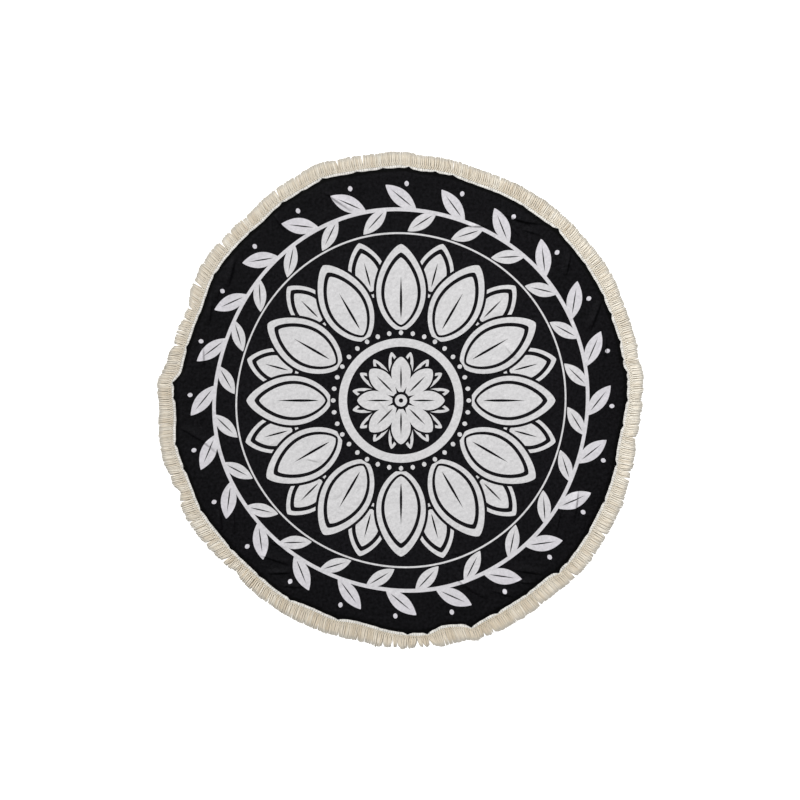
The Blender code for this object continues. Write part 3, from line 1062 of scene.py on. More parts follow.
    def build(self) -> bpy.types.Object:
        """Builds the cloth, closed all round, with its face and back dressed.

        Returns:
            The piece, riding on the towel in place of its solid.
        """
        places = [Vector(place) for place in self._places()]
        rim = np.arange(self.rim_points)
        found, _, triangles, *_ = delaunay_2d_cdt(places, [], [rim.tolist()], 1, 1e-7)
        points = np.array([tuple(point) for point in found])
        faces = np.array(triangles)
        under = np.column_stack([points, self.lift(points)])
        over = under + (0.0, 0.0, self.thick)
        count = len(points)
        after = np.roll(rim, -1)
        lower_sides = np.column_stack([rim, after, after + count])
        upper_sides = np.column_stack([rim, after + count, rim + count])
        corners = np.concatenate([faces[:, ::-1], faces + count, lower_sides, upper_sides])
        mesh = bpy.data.meshes.new("printed_cloth")
        mesh.from_pydata(np.concatenate([under, over]).tolist(), [], corners.tolist())
        store(mesh, "flat_place", np.tile(self._flat(points), (2, 1)))
        store(mesh, "inside", np.tile(self._polar(points)[2], 2))
        for finish in (self.face, self.back):
            mesh.materials.append(finish.material())
        on_back = np.arange(len(corners)) < len(faces)
        mesh.polygons.foreach_set("material_index", on_back.astype(np.int32))
        mesh.polygons.foreach_set("use_smooth", np.ones(len(corners), bool))
        mesh.update()
        return settled(linked("printed_cloth", mesh), "printed_cloth", "cloth")

    def declare(self) -> None:
        radius = self.hem.mean() + self.tuck


# ---------------------------------------------------------------------------------------------------- tape


@dataclass(frozen=True)
class Corner:
    """A place where the cloth pokes out from under the tape.

    Attributes:
        bearing: Where it is.
        poke: How far it pokes out, or how far the tape reaches in there where it's negative.
    """

    bearing: float
    poke: float


CORNERS = (
    Corner(0.0, 1.9), Corner(3.4, 0.9), Corner(4.3, -0.7), Corner(5.4, 1.0), Corner(7.2, 2.0),
    Corner(10.5, 2.8), Corner(15.0, 2.4), Corner(22.3, 2.6), Corner(27.3, 1.8), Corner(36.5, 1.2),
    Corner(47.5, 3.4), Corner(58.0, 1.0), Corner(77.0, 2.2), Corner(81.5, 2.0), Corner(88.0, 4.2),
    Corner(94.5, 1.8), Corner(101.0, 1.6), Corner(109.5, 2.4), Corner(115.5, 1.6), Corner(121.0, 2.4),
    Corner(132.0, 1.2), Corner(146.0, 1.4), Corner(166.0, 2.4), Corner(175.5, 3.8), Corner(177.8, 1.1),
    Corner(179.4, 2.4), Corner(191.0, 2.2), Corner(197.5, 2.0), Corner(208.7, 2.2), Corner(221.0, 2.0),
    Corner(231.0, 1.2), Corner(241.0, 2.2), Corner(254.0, 2.2), Corner(271.5, 2.6), Corner(276.5, 3.2),
    Corner(287.0, 3.4), Corner(294.5, 2.4), Corner(303.0, 1.2), Corner(312.4, 3.0), Corner(316.0, 2.0),
    Corner(325.0, 1.2), Corner(333.7, 2.2), Corner(343.7, 2.2), Corner(353.5, 2.0),
)


@dataclass
class HeadingTape:
    """The tape that binds the cloth's edge and carries the fringe's knotted heading, swept round the hem.

    Attributes:
        hem: The hem line.
        finish: Its finish.
        join: The bearing where its two ends meet.
        stations: How many sections it has round the hem.
        sides: How many points its section has.
        over_cloth: The height of its middle over the cloth.
        past_cloth: The same beyond the cloth's edge, where it lies on the floor.
        rumple: How far its surface rises and falls.
        wander: How far its inner edge wanders between the corners.
        spread: How many degrees a corner's flanks take up.
        draws: How many times its poke a corner is drawn out at its very point.
        deepest: How far a corner may poke out, in millimetres, so that some of the tape is left.
        seed: What fixes the wandering.
        width: Its width.
        white: How much of its width shows beside the knotted yarns.
        thick: Its thickness.
    """

    width: ClassVar[float] = 15.0 * MM
    white: ClassVar[float] = 8.2 * MM
    thick: ClassVar[float] = 0.8 * MM

    hem: Hem
    finish: WovenTape = field(default_factory=WovenTape)
    join: float = 174.2
    stations: int = 1440
    sides: int = 20
    over_cloth: float = 1.5 * MM
    past_cloth: float = 0.65 * MM
    rumple: float = 0.7 * MM
    wander: float = 0.5 * MM
    spread: float = 1.3
    draws: float = 2.3
    deepest: float = 7.2
    seed: int = 12

    def poke(self, bearings: np.ndarray) -> np.ndarray:
        """Gives how far outwards the tape's inner edge is drawn at each bearing."""
        draw = np.random.default_rng(self.seed)
        drawn = np.zeros(len(bearings))
        for waves in (61, 97, 151):
            drawn += self.wander / 2.0 * np.sin(np.radians(bearings) * waves + draw.uniform(0.0, math.tau))
        for corner in CORNERS:
            fade = np.clip(1.0 - np.abs(turned(bearings, corner.bearing)) / self.spread, 0.0, 1.0)
            drawn += min(corner.poke * self.draws, self.deepest) * MM * fade**1.6
        return drawn

    def _tree(self) -> Any:
        """Makes the tree that sweeps the tape's section along its path.

        Returns:
            The tree. Its path carries the outward direction, and how far the inner edge is drawn out.
        """
        tree = new_group(
            "swept_tape",
            "GeometryNodeTree",
            {
                "Path": ("NodeSocketGeometry", None),
                "Width": ("NodeSocketFloat", 0.013),
                "Thickness": ("NodeSocketFloat", 0.001),
                "Rise": ("NodeSocketFloat", 0.001),
                "Sides": ("NodeSocketInt", 20),
                "Rumple": ("NodeSocketFloat", 0.0002),
                "Material": ("NodeSocketMaterial", None),
            },
            {"Piece": "NodeSocketGeometry"},
        )
        given = add(tree, "NodeGroupInput").outputs
        # The section is a flat oval with squared sides
        circle = add(tree, "GeometryNodeCurvePrimitiveCircle", given["Sides"], named={"Radius": 1.0})
        axes = add(tree, "ShaderNodeSeparateXYZ", add(tree, "GeometryNodeInputPosition")).outputs
        squared = []
        for axis, power in (("X", 0.45), ("Y", 0.5)):
            size = add(tree, "ShaderNodeMath", axes[axis], operation="ABSOLUTE")
            side = add(tree, "ShaderNodeMath", axes[axis], operation="SIGN")
            drawn = add(tree, "ShaderNodeMath", size, power, operation="POWER")
            squared.append(add(tree, "ShaderNodeMath", drawn, side, operation="MULTIPLY"))
        corners = add(tree, "ShaderNodeCombineXYZ", *squared, 0.0)
        boxy = add(tree, "GeometryNodeSetPosition", circle, named={"Position": corners})
        stored = {"data_type": "FLOAT", "domain": "POINT"}
        across = add(tree, "ShaderNodeSeparateXYZ", add(tree, "GeometryNodeInputPosition")).outputs["X"]
        marked = add(tree, "GeometryNodeStoreNamedAttribute", boxy, None, "across", across, **stored)
        half_wide = add(tree, "ShaderNodeMath", given["Width"], 0.5, operation="MULTIPLY")
        half_thick = add(tree, "ShaderNodeMath", given["Thickness"], 0.5, operation="MULTIPLY")
        scale = add(tree, "ShaderNodeCombineXYZ", half_wide, half_thick, 1.0)
        section = add(tree, "GeometryNodeTransform", marked, named={"Scale": scale})
        # The path, marked with the length along it
        line = add(tree, "GeometryNodeMeshToCurve", given["Path"])
        upright = add(tree, "GeometryNodeSetCurveNormal", line, mode="Z_UP")
        length = add(tree, "GeometryNodeSplineParameter").outputs["Length"]
        measured = add(tree, "GeometryNodeStoreNamedAttribute", upright, None, "along", length, **stored)
        swept = add(tree, "GeometryNodeCurveToMesh", measured, section, named={"Fill Caps": True})
        # The inner edge is drawn outwards at the corners, and the outer edge lies lower, beyond the cloth
        side, poke, outward = (
            add(tree, "GeometryNodeInputNamedAttribute", name, data_type=kind)
            for name, kind in (("across", "FLOAT"), ("poke", "FLOAT"), ("outward", "FLOAT_VECTOR"))
        )
        inner = add(tree, "ShaderNodeMapRange", side, -1.0, 0.6, 1.0, 0.0)
        draw = add(tree, "ShaderNodeMath", poke, inner, operation="MULTIPLY")
        drawn = add(tree, "ShaderNodeVectorMath", outward, operation="SCALE", named={"Scale": draw})
        crown = (side, -0.15, 0.2, 0.0, given["Rise"])
        climb = add(tree, "ShaderNodeMapRange", *crown, interpolation_type="SMOOTHSTEP")
        rumple = add(tree, "ShaderNodeTexNoise", named={"Scale": 55.0, "Detail": 1.0})
        uneven = add(tree, "ShaderNodeMath", rumple, given["Rumple"], climb, operation="MULTIPLY_ADD")
        raised = add(tree, "ShaderNodeCombineXYZ", 0.0, 0.0, uneven)
        moved = add(tree, "ShaderNodeVectorMath", drawn, raised, operation="ADD")
        shaped = add(tree, "GeometryNodeSetPosition", swept, named={"Offset": moved})
        close_group(tree, shaped, given["Material"])
        return tree

    def build(self) -> bpy.types.Object:
        """Builds the tape, from its join round to its join.

        Returns:
            The piece, riding on the towel in place of its solid.
        """
        bearings = self.join + np.linspace(0.0, 360.0, self.stations + 1)
        points = self.hem.path(bearings, self.width / 2.0, self.over_cloth)
        mesh = bpy.data.meshes.new("tape_path")
        mesh.from_pydata(points.tolist(), [(i, i + 1) for i in range(self.stations)], [])
        store(mesh, "outward", out_from(bearings))
        store(mesh, "poke", self.poke(bearings))
        inputs = {
            "Width": self.width,
            "Thickness": self.thick,
            "Rise": self.past_cloth - self.over_cloth,
            "Sides": self.sides,
            "Rumple": self.rumple,
            "Material": self.finish.material(),
        }
        piece = settled(grown("woven_tape", mesh, self._tree(), inputs), "heading_tape", "heading_tape")
        return piece


# ------------------------------------------------------------------------------------------------ stitches


@dataclass
class StitchRow:
    """A row of straight stitches round the hem.

    Attributes:
        hem: The hem line.
        name: The piece's name.
        finish: Its thread.
        out: How far outside the hem it runs.
        z: The height of its middle.
        pitch: The length of a stitch with the gap after it.
        long: The length of a stitch.
        wide: The width of its thread.
        follows: The tape whose drawn-in edge it follows, or nothing.
        closely: How closely it follows that edge, as a share.
        stations: How many points its path has.
        seed: What fixes its unevenness.
    """

    hem: Hem
    name: str
    finish: SewingThread
    out: float
    z: float
    pitch: float
    long: float
    wide: float
    follows: HeadingTape | None = None
    closely: float = 0.85
    stations: int = 1440
    seed: int = 3

    def _tree(self) -> Any:
        """Makes the tree that sets stitches along a path."""
        tree = new_group(
            "row_of_" + self.name,
            "GeometryNodeTree",
            {
                "Path": ("NodeSocketGeometry", None),
                "Pitch": ("NodeSocketFloat", 0.003),
                "Length": ("NodeSocketFloat", 0.0025),
                "Thread": ("NodeSocketFloat", 0.0006),
                "Seed": ("NodeSocketInt", self.seed),
                "Material": ("NodeSocketMaterial", None),
            },
            {"Piece": "NodeSocketGeometry"},
        )
        given = add(tree, "NodeGroupInput").outputs
        line = add(tree, "GeometryNodeMeshToCurve", given["Path"])
        spaced = add(tree, "GeometryNodeResampleCurve", line, named={"Length": given["Pitch"]}, mode="LENGTH")
        ball = add(tree, "GeometryNodeMeshUVSphere", 6, 4, 0.5)
        size = add(tree, "ShaderNodeCombineXYZ", given["Length"], given["Thread"], given["Thread"])
        stitch = add(tree, "GeometryNodeTransform", ball, named={"Scale": size})
        turned_to = {"Vector": add(tree, "GeometryNodeInputTangent")}
        ahead = add(tree, "FunctionNodeAlignRotationToVector", named=turned_to, axis="X", pivot_axis="Z")
        # Each stitch is a little longer or shorter, wider or narrower, thicker or thinner than the rest
        limits = {0: (0.9, 0.85, 0.9), 1: (1.08, 1.15, 1.1), 8: given["Seed"]}
        wobble = add(tree, "FunctionNodeRandomValue", named=limits, data_type="FLOAT_VECTOR")
        placed = {"Instance": stitch, "Rotation": ahead, "Scale": wobble}
        laid = add(tree, "GeometryNodeInstanceOnPoints", spaced, named=placed)
        close_group(tree, laid, given["Material"])
        return tree

    def build(self) -> bpy.types.Object:
        """Builds the row, closed round the hem."""
        bearings = np.arange(self.stations) * 360.0 / self.stations
        points = self.hem.path(bearings, self.out, self.z)
        if self.follows:
            points += out_from(bearings) * self.follows.poke(bearings)[:, None] * self.closely
        mesh = bpy.data.meshes.new(self.name + "_path")
        edges = [(station, (station + 1) % self.stations) for station in range(self.stations)]
        mesh.from_pydata(points.tolist(), edges, [])
        inputs = {
            "Pitch": self.pitch,
            "Length": self.long,
            "Thread": self.wide,
            "Material": self.finish.material(),
        }
        return settled(grown(self.name, mesh, self._tree(), inputs), "heading_tape")


# -------------------------------------------------------------------------------------------------- fringe


@dataclass(frozen=True)
class Sweep:
    """How far the strands of a stretch are swept sideways.

    Attributes:
        bearing: Where the stretch is.
        tips: How far their tips lie from straight outwards, counter-clockwise positive.
    """

    bearing: float
    tips: float


SWEEPS = (
    Sweep(0, 0), Sweep(30, 1), Sweep(68, 6), Sweep(95, 0), Sweep(113, -4), Sweep(125, -1), Sweep(146, -6),
    Sweep(170, 3), Sweep(190, 0), Sweep(208, -8), Sweep(221, -7), Sweep(234, 6), Sweep(250, 5), Sweep(262, 0),
    Sweep(287, 7), Sweep(320, 3), Sweep(341, 1), Sweep(360, 0),
)


@dataclass(frozen=True)
class Parting:
    """A place where the fringe opens.

    Attributes:
        bearing: Where it is.
        opening: How wide it is at the tips.
        shortfall: How much shorter its strands are.
        deep: The share of its opening that starts at the roots, and not towards the tips.
    """

    bearing: float
    opening: float
    shortfall: float = 0.0
    deep: float = 0.2


PARTINGS = (
    Parting(0.5, 4, 3), Parting(10.0, 5, 4), Parting(19.2, 5), Parting(35.5, 3), Parting(59.7, 4),
    Parting(63.3, 4, 2), Parting(65.5, 7, 2), Parting(99.3, 6, 0, 0.9), Parting(101.7, 3),
    Parting(105.3, 10), Parting(116.0, 4), Parting(121.0, 9, deep=0.6), Parting(130.4, 4, 1),
    Parting(131.6, 3), Parting(135.7, 8), Parting(138.9, 12, 1, 0.9), Parting(145.4, 8),
    Parting(150.5, 11, 0, 0.8), Parting(156.4, 12, 5), Parting(159.2, 9, 5), Parting(162.4, 6, 2),
    Parting(166.0, 9, 5), Parting(198.3, 5, 2), Parting(203.0, 3, 13), Parting(205.2, 9, 0, 0.6),
    Parting(210.6, 9), Parting(216.8, 8), Parting(219.7, 5), Parting(222.5, 12, 0, 0.6),
    Parting(223.8, 6), Parting(226.1, 6, 4), Parting(231.2, 6), Parting(236.1, 6), Parting(249.4, 5),
    Parting(254.7, 4), Parting(259.5, 7, 0, 1.0), Parting(261.3, 4, 0, 1.0), Parting(263.0, 4),
    Parting(265.8, 10), Parting(267.9, 13, 0, 0.4), Parting(269.0, 12), Parting(271.3, 8),
    Parting(273.8, 18, 2, 0.3), Parting(275.0, 9), Parting(276.6, 18, 4), Parting(289.3, 9),
    Parting(291.5, 7), Parting(300.7, 4, 0, 0.3), Parting(304.0, 6), Parting(313.2, 4),
    Parting(314.5, 11), Parting(319.1, 3, 0, 0.3), Parting(321.2, 6), Parting(326.6, 8),
    Parting(335.7, 6), Parting(341.0, 12, 0, 0.6), Parting(342.6, 8, 0, 0.6), Parting(351.0, 10, 4),
    Parting(354.0, 4),
)


# How much shorter the yarns are right beside a parting: each row is a bearing and a share of the opening
SHOULDERS = ((0, 0.2), (140, 0.2), (200, 0.35), (240, 0.55), (285, 0.55), (300, 0.15), (360, 0.2))
# Painted light and shade: how much browner and darker the yarns are from one side to another, as the light
# falls on them. Each row is a bearing and a share of the range
SIDE_LIGHT = (
    (0, -0.3), (60, 0.05), (90, 0.15), (150, 0.05), (210, 0.1), (240, 0.4), (290, 0.45), (330, 0.0),
    (360, -0.3),
)


@dataclass(frozen=True)
class YarnLayer:
    """One of the fringe's two layers of yarns: an upper one, knotted on the tape, or a lower one beneath it.

    Attributes:
        name: The piece's name.
        turn: How far its bundles are turned, as a share of their spacing.
        root_out: How far outside the hem its yarns begin.
        half_wide: Half a yarn's width where it's fullest.
        half_high: Half its height.
        root_z: The height of its middle at the root.
        belly_z: The same where it's fullest.
        tip_z: The same at its tip.
        knotted: How far the yarns part and meet in the heading, as a share of a bundle's spacing.
        paired: How much nearer a bundle's yarns lie beyond it than evenly spaced ones would, as such a share.
        sunk_in_shade: How deep in painted shade its roots are, from 0 to 1.
        slim: How slim a yarn is at its root, as a share of its girth.
        opens: How far it follows the partings, as a share of their openings.
        stations: How many sections it has.
        seed: What fixes its unevenness.
    """

    name: str
    turn: float
    root_out: float
    half_wide: float
    half_high: float
    root_z: float
    belly_z: float
    tip_z: float
    knotted: float
    paired: float
    sunk_in_shade: float
    slim: float
    opens: float
    stations: int
    seed: int


@dataclass
class Fringe:
    """The fringe: yarns in pairs that part and meet in a knotted heading on the tape, then lie on the floor.

    Attributes:
        hem: The hem line.
        finish: Its yarn.
        bundles: How many pairs of yarns a layer has.
        sides: How many sides a yarn has.
        knot_step: How far it is from one meeting of the yarns to the next, outwards.
        widening: How far beyond the heading they take to spread evenly.
        spread: How many degrees beside a parting its push dies away over.
        dip: The same for its shortfall.
        shoulder: The same for what SHOULDERS takes off.
        stray: How far a yarn's tip strays aside by itself.
        ragged: How far a yarn falls short by itself.
        over: How much further than the reach of the fringe its longest yarns go.
        dome: How much shorter the outermost yarns of a clump are than its middle ones.
        clump: How far yarns that lie together lean to their middle, as a share.
        clump_sizes: How many degrees a clump may take up.
        clump_odds: How often it takes up each of them.
        seed: What fixes which yarns lie together.
        layers: Its layers.
    """

    hem: Hem
    finish: CottonYarn = field(default_factory=CottonYarn)
    bundles: int = 720
    sides: int = 5
    knot_step: float = 11.6 * MM
    widening: float = 9.0 * MM
    spread: float = 2.0
    dip: float = 1.5
    shoulder: float = 0.5
    stray: float = 0.85 * MM
    ragged: float = 1.3 * MM
    over: float = 1.6 * MM
    dome: float = 0.7 * MM
    clump: float = 0.05
    clump_sizes: ClassVar[tuple[float, ...]] = (0.5, 0.8, 1.2, 1.7, 2.4)
    clump_odds: ClassVar[tuple[float, ...]] = (0.2, 0.25, 0.25, 0.2, 0.1)
    seed: int = 21
    layers: tuple[YarnLayer, ...] = (
        YarnLayer(
            "fringe_lower_yarns", 0.5, 15.05 * MM, 2.1 * MM, 0.7 * MM, 0.75 * MM, 0.9 * MM, 0.8 * MM,
            knotted=0.0, paired=0.0, sunk_in_shade=1.0, slim=1.0, opens=0.65, stations=9, seed=31,
        ),
        YarnLayer(
            "fringe_upper_yarns", 0.0, 8.2 * MM, 1.6 * MM, 1.1 * MM, 1.95 * MM, 2.6 * MM, 1.6 * MM,
            knotted=0.24, paired=0.1, sunk_in_shade=0.0, slim=0.86, opens=1.0, stations=12, seed=32,
        ),
    )

    def __post_init__(self) -> None:
        """Draws the clumps: each one's place, its hold on its yarns, its length, its slant and its tint."""
        draw = np.random.default_rng(self.seed)
        # More than enough of them to go round
        sizes = draw.choice(self.clump_sizes, 600, p=self.clump_odds)
        sizes = sizes * draw.uniform(0.8, 1.2, 600)
        starts = np.concatenate([[0.0], np.cumsum(sizes)])
        self.starts = starts[starts < 359.4]
        ends = np.append(self.starts[1:], 360.0)
        self.middles = (self.starts + ends) / 2.0
        self.halves = np.radians(ends - self.starts) * self.hem.mean() / 2.0
        count = len(self.starts)
        self.holds = self.clump * draw.uniform(0.3, 1.9, count)
        self.cuts = draw.normal(0.0, 1.0 * MM, count)
        self.slants = draw.normal(0.0, 0.06, count)
        self.tints = draw.normal(0.0, 0.12, count)

    def _lean(self, bearings: np.ndarray, opens: float) -> tuple[np.ndarray, np.ndarray]:
        """Gives how far each yarn's tip leans aside, evenly along it and towards its tip only.

        Args:
            bearings: Where the yarns are.
            opens: How far they follow the partings, as a share of their openings.

        Returns:
            The two distances, counter-clockwise positive.
        """
        stretches = [(row.bearing, row.tips) for row in SWEEPS]
        even = np.interp(bearings % 360.0, *np.transpose(stretches)) * MM
        late = np.zeros(len(bearings))
        for parting in PARTINGS:
            turn = turned(bearings, parting.bearing)
            half = np.sign(turn) * parting.opening * opens * MM / 2.0
            push = half * np.exp(-np.abs(turn) / self.spread)
            even += push * parting.deep
            late += push * (1.0 - parting.deep)
        return even, late

    def _seeds(self, layer: YarnLayer) -> bpy.types.Mesh:
        """Sets out a layer's roots, with how long each yarn is and how it leans.

        Args:
            layer: The layer.

        Returns:
            A mesh of loose points, two for a bundle, with a named value for each.
        """
        draw = np.random.default_rng(layer.seed)
        centres = (np.arange(self.bundles) + layer.turn) * 360.0 / self.bundles
        centres = centres + draw.uniform(-0.03, 0.03, self.bundles)
        centres = np.repeat(centres, 2)
        count = len(centres)
        sides = np.tile([-1.0, 1.0], self.bundles)
        own = centres + sides * 90.0 / self.bundles
        clumps = np.searchsorted(self.starts, own % 360.0, side="right") - 1
        off_middle = np.radians(turned(own, 0.0) - turned(self.middles[clumps], 0.0)) * self.hem.mean()
        # In the clump that straddles half a turn this would be a whole turn too much
        off_middle = np.where(np.abs(off_middle) > 30.0 * MM, 0.0, off_middle)
        even, late = self._lean(own, layer.opens)
        late += draw.normal(0.0, self.stray, count) - off_middle * self.holds[clumps]
        length = self.hem.reach(own) - self.hem.radius(own) - layer.root_out
        for parting in PARTINGS:
            turn = turned(own, parting.bearing)
            length -= parting.shortfall * MM * np.exp(-((turn / self.dip) ** 2))
            beside = parting.opening * np.interp(parting.bearing, *np.transpose(SHOULDERS))
            length -= beside * MM * np.exp(-np.abs(turn) / self.shoulder)
        length += self.cuts[clumps] + off_middle * self.slants[clumps]
        length -= self.dome * np.clip(off_middle / self.halves[clumps], -1.0, 1.0) ** 2
        length += self.over - np.abs(draw.normal(0.0, self.ragged, count))
        # Painted light and shade by side, added to each yarn's tint
        side_light = np.interp(own % 360.0, *np.transpose(SIDE_LIGHT))
        bundle_tint = np.repeat(draw.normal(0.0, 0.16, self.bundles), 2)
        bow = draw.normal(0.0, 0.7 * MM, count)
        girth = 1.0 + draw.uniform(-0.1, 0.1, count)
        shade = 0.5 + side_light + self.tints[clumps] + bundle_tint + draw.normal(0.0, 0.15, count)
        raised = np.repeat(draw.uniform(-0.3, 0.3, self.bundles), 2) * MM * (1.0 - layer.sunk_in_shade)
        values = {
            "outward": out_from(centres),
            "length": length,
            "even": even,
            "late": late,
            "side": sides * math.tau * self.hem.mean() / self.bundles,
            "bow": bow,
            "girth": girth,
            "shade": np.clip(shade, 0.0, 1.3),
            "raised": raised,
            "sunk_in_shade": np.full(count, layer.sunk_in_shade),
        }
        mesh = bpy.data.meshes.new(layer.name + "_roots")
        mesh.from_pydata(self.hem.path(centres, layer.root_out, 0.0).tolist(), [], [])
        for name, value in values.items():
            store(mesh, name, value)
        return mesh

    def _tree(self) -> Any:
        """Makes the tree that grows a yarn from each root.

        Returns:
            The tree. A yarn is a line that runs outwards, parts from its twin and meets it in the heading,
            leans, bows a little and sinks to the floor. Its section is oval, narrow in the heading and full
            beyond it.
        """
        floats = (
            "Half width", "Half height", "Root height", "Belly height", "Tip height", "Knotted", "Paired",
            "Knot step", "Slim",
        )
        tree = new_group(
            "fringe_yarns",
            "GeometryNodeTree",
            {
                "Roots": ("NodeSocketGeometry", None),
                **{name: ("NodeSocketFloat", 0.001) for name in floats},
                "Sides": ("NodeSocketInt", 5),
                "Stations": ("NodeSocketInt", 10),
                "Material": ("NodeSocketMaterial", None),
            },
            {"Piece": "NodeSocketGeometry"},
        )
        given = add(tree, "NodeGroupInput").outputs
        knot_step, knotted = given["Knot step"], given["Knotted"]
        numbers = ("share", "factor", "length", "even", "late", "side", "bow", "girth", "raised")
        own = {
            name: add(tree, "GeometryNodeInputNamedAttribute", name, data_type="FLOAT") for name in numbers
        }
        share = own["share"]
        outward = add(tree, "GeometryNodeInputNamedAttribute", "outward", data_type="FLOAT_VECTOR")
        stored = {"data_type": "FLOAT", "domain": "POINT"}
        # A yarn's line, marked with the share of its length, its sections closer towards the root
        ends = {"Start": (0.0, 0.0, 0.0), "End": (1.0, 0.0, 0.0)}
        straight = add(tree, "GeometryNodeCurvePrimitiveLine", named=ends)
        count = {"Count": given["Stations"]}
        stepped = add(tree, "GeometryNodeResampleCurve", straight, named=count, mode="COUNT")
        factor = add(tree, "GeometryNodeSplineParameter").outputs["Factor"]
        closer = add(tree, "ShaderNodeMath", factor, 1.3, operation="POWER")
        line = add(tree, "GeometryNodeStoreNamedAttribute", stepped, None, "share", closer, **stored)
        laid = add(tree, "GeometryNodeInstanceOnPoints", given["Roots"], named={"Instance": line})
        lines = add(tree, "GeometryNodeRealizeInstances", laid)
        lines = add(tree, "GeometryNodeStoreNamedAttribute", lines, None, "factor", factor, **stored)
        # Where each section lies, from its root: outwards
        shift = add(tree, "ShaderNodeCombineXYZ", own["factor"], 0.0, 0.0)
        here = add(tree, "GeometryNodeInputPosition")
        root = add(tree, "ShaderNodeVectorMath", here, shift, operation="SUBTRACT")
        along = add(tree, "ShaderNodeMath", share, own["length"], operation="MULTIPLY")
        ahead = add(tree, "ShaderNodeVectorMath", outward, operation="SCALE", named={"Scale": along})
        aside = add(tree, "ShaderNodeVectorMath", (0.0, 0.0, 1.0), outward, operation="CROSS_PRODUCT")
        # Aside: the yarns part and meet once in the heading, then spread until they are evenly spaced
        step = add(tree, "ShaderNodeMath", along, knot_step, operation="MINIMUM")
        phase = add(tree, "ShaderNodeMath", step, knot_step, operation="DIVIDE")
        turn = add(tree, "ShaderNodeMath", phase, math.tau, operation="MULTIPLY")
        swing = add(tree, "ShaderNodeMath", turn, operation="COSINE")
        wave = add(tree, "ShaderNodeMath", swing, knotted, operation="MULTIPLY")
        past = add(tree, "ShaderNodeMath", knot_step, self.widening, operation="ADD")
        most = add(tree, "ShaderNodeMath", knotted, given["Paired"], operation="SUBTRACT")
        spreading = (along, knot_step, past, 0.0, most)
        opened = add(tree, "ShaderNodeMapRange", *spreading, interpolation_type="SMOOTHSTEP")
        parted = add(tree, "ShaderNodeMath", 0.5, wave, operation="SUBTRACT")
        weight = add(tree, "ShaderNodeMath", parted, opened, operation="ADD")
        half = add(tree, "ShaderNodeMath", own["side"], 0.5, operation="MULTIPLY")
        twin = add(tree, "ShaderNodeMath", half, weight, operation="MULTIPLY")
        # Aside: it leans evenly, more towards its tip, and bows
        far = add(tree, "ShaderNodeMapRange", share, 0.28, 1.0, 0.0, 1.0)
        opening = add(tree, "ShaderNodeMath", far, 1.5, operation="POWER")
        lean = add(tree, "ShaderNodeMath", share, own["even"], operation="MULTIPLY")
        late = add(tree, "ShaderNodeMath", opening, own["late"], lean, operation="MULTIPLY_ADD")
        straightened = add(tree, "ShaderNodeMath", late, twin, operation="ADD")
        half_turn = add(tree, "ShaderNodeMath", share, math.pi, operation="MULTIPLY")
        arch = add(tree, "ShaderNodeMath", half_turn, operation="SINE")
        bowed = add(tree, "ShaderNodeMath", arch, own["bow"], straightened, operation="MULTIPLY_ADD")
        sideways = add(tree, "ShaderNodeVectorMath", aside, operation="SCALE", named={"Scale": bowed})
        # How high it lies, up and then down to the floor, and how full it is
        fall = add(tree, "ShaderNodeMath", given["Tip height"], given["Belly height"], operation="SUBTRACT")
        climb, sink, slim, taper = (
            add(tree, "ShaderNodeMapRange", share, *values, interpolation_type="SMOOTHSTEP")
            for values in (
                (0.25, 0.5, given["Root height"], given["Belly height"]),
                (0.6, 1.0, 0.0, fall),
                (0.22, 0.45, given["Slim"], 1.0),
                (0.84, 1.0, 1.0, 0.75),
            )
        )
        middle = add(tree, "ShaderNodeMath", climb, sink, operation="ADD")
        height = add(tree, "ShaderNodeMath", middle, own["raised"], operation="ADD")
        place = root
        for offset in (ahead, sideways, add(tree, "ShaderNodeCombineXYZ", 0.0, 0.0, height)):
            place = add(tree, "ShaderNodeVectorMath", place, offset, operation="ADD")
        placed = add(tree, "GeometryNodeSetPosition", lines, named={"Position": place})
        measured = add(tree, "GeometryNodeStoreNamedAttribute", placed, None, "along", along, **stored)
        upright = add(tree, "GeometryNodeSetCurveNormal", measured, mode="Z_UP")
        # Its section
        circle = add(tree, "GeometryNodeCurvePrimitiveCircle", given["Sides"], named={"Radius": 1.0})
        vectors = {**stored, "data_type": "FLOAT_VECTOR"}
        faced = add(tree, "GeometryNodeStoreNamedAttribute", circle, None, "around", here, **vectors)
        size = add(tree, "ShaderNodeCombineXYZ", given["Half width"], given["Half height"], 1.0)
        section = add(tree, "GeometryNodeTransform", faced, named={"Scale": size})
        full = add(tree, "ShaderNodeMath", slim, taper, operation="MULTIPLY")
        scale = add(tree, "ShaderNodeMath", full, own["girth"], operation="MULTIPLY")
        thick = {"Scale": scale, "Fill Caps": True}
        swept = add(tree, "GeometryNodeCurveToMesh", upright, section, named=thick)
        close_group(tree, swept, given["Material"])
        return tree

    def build(self) -> list[bpy.types.Object]:
        """Builds both layers, which ride on the towel in place of the fringe's solid."""
        tree = self._tree()
        material = self.finish.material()
        pieces = []
        for layer in self.layers:
            inputs = {
                "Half width": layer.half_wide,
                "Half height": layer.half_high,
                "Root height": layer.root_z,
                "Belly height": layer.belly_z,
                "Tip height": layer.tip_z,
                "Knotted": layer.knotted,
                "Paired": layer.paired,
                "Knot step": self.knot_step,
                "Slim": layer.slim,
                "Sides": self.sides,
                "Stations": layer.stations,
                "Material": material,
            }
            piece = grown(layer.name, self._seeds(layer), tree, inputs)
            pieces.append(settled(piece, "fringe_yarn", "fringe"))
        return pieces


# -------------------------------------------------------------------------------------------------- studio


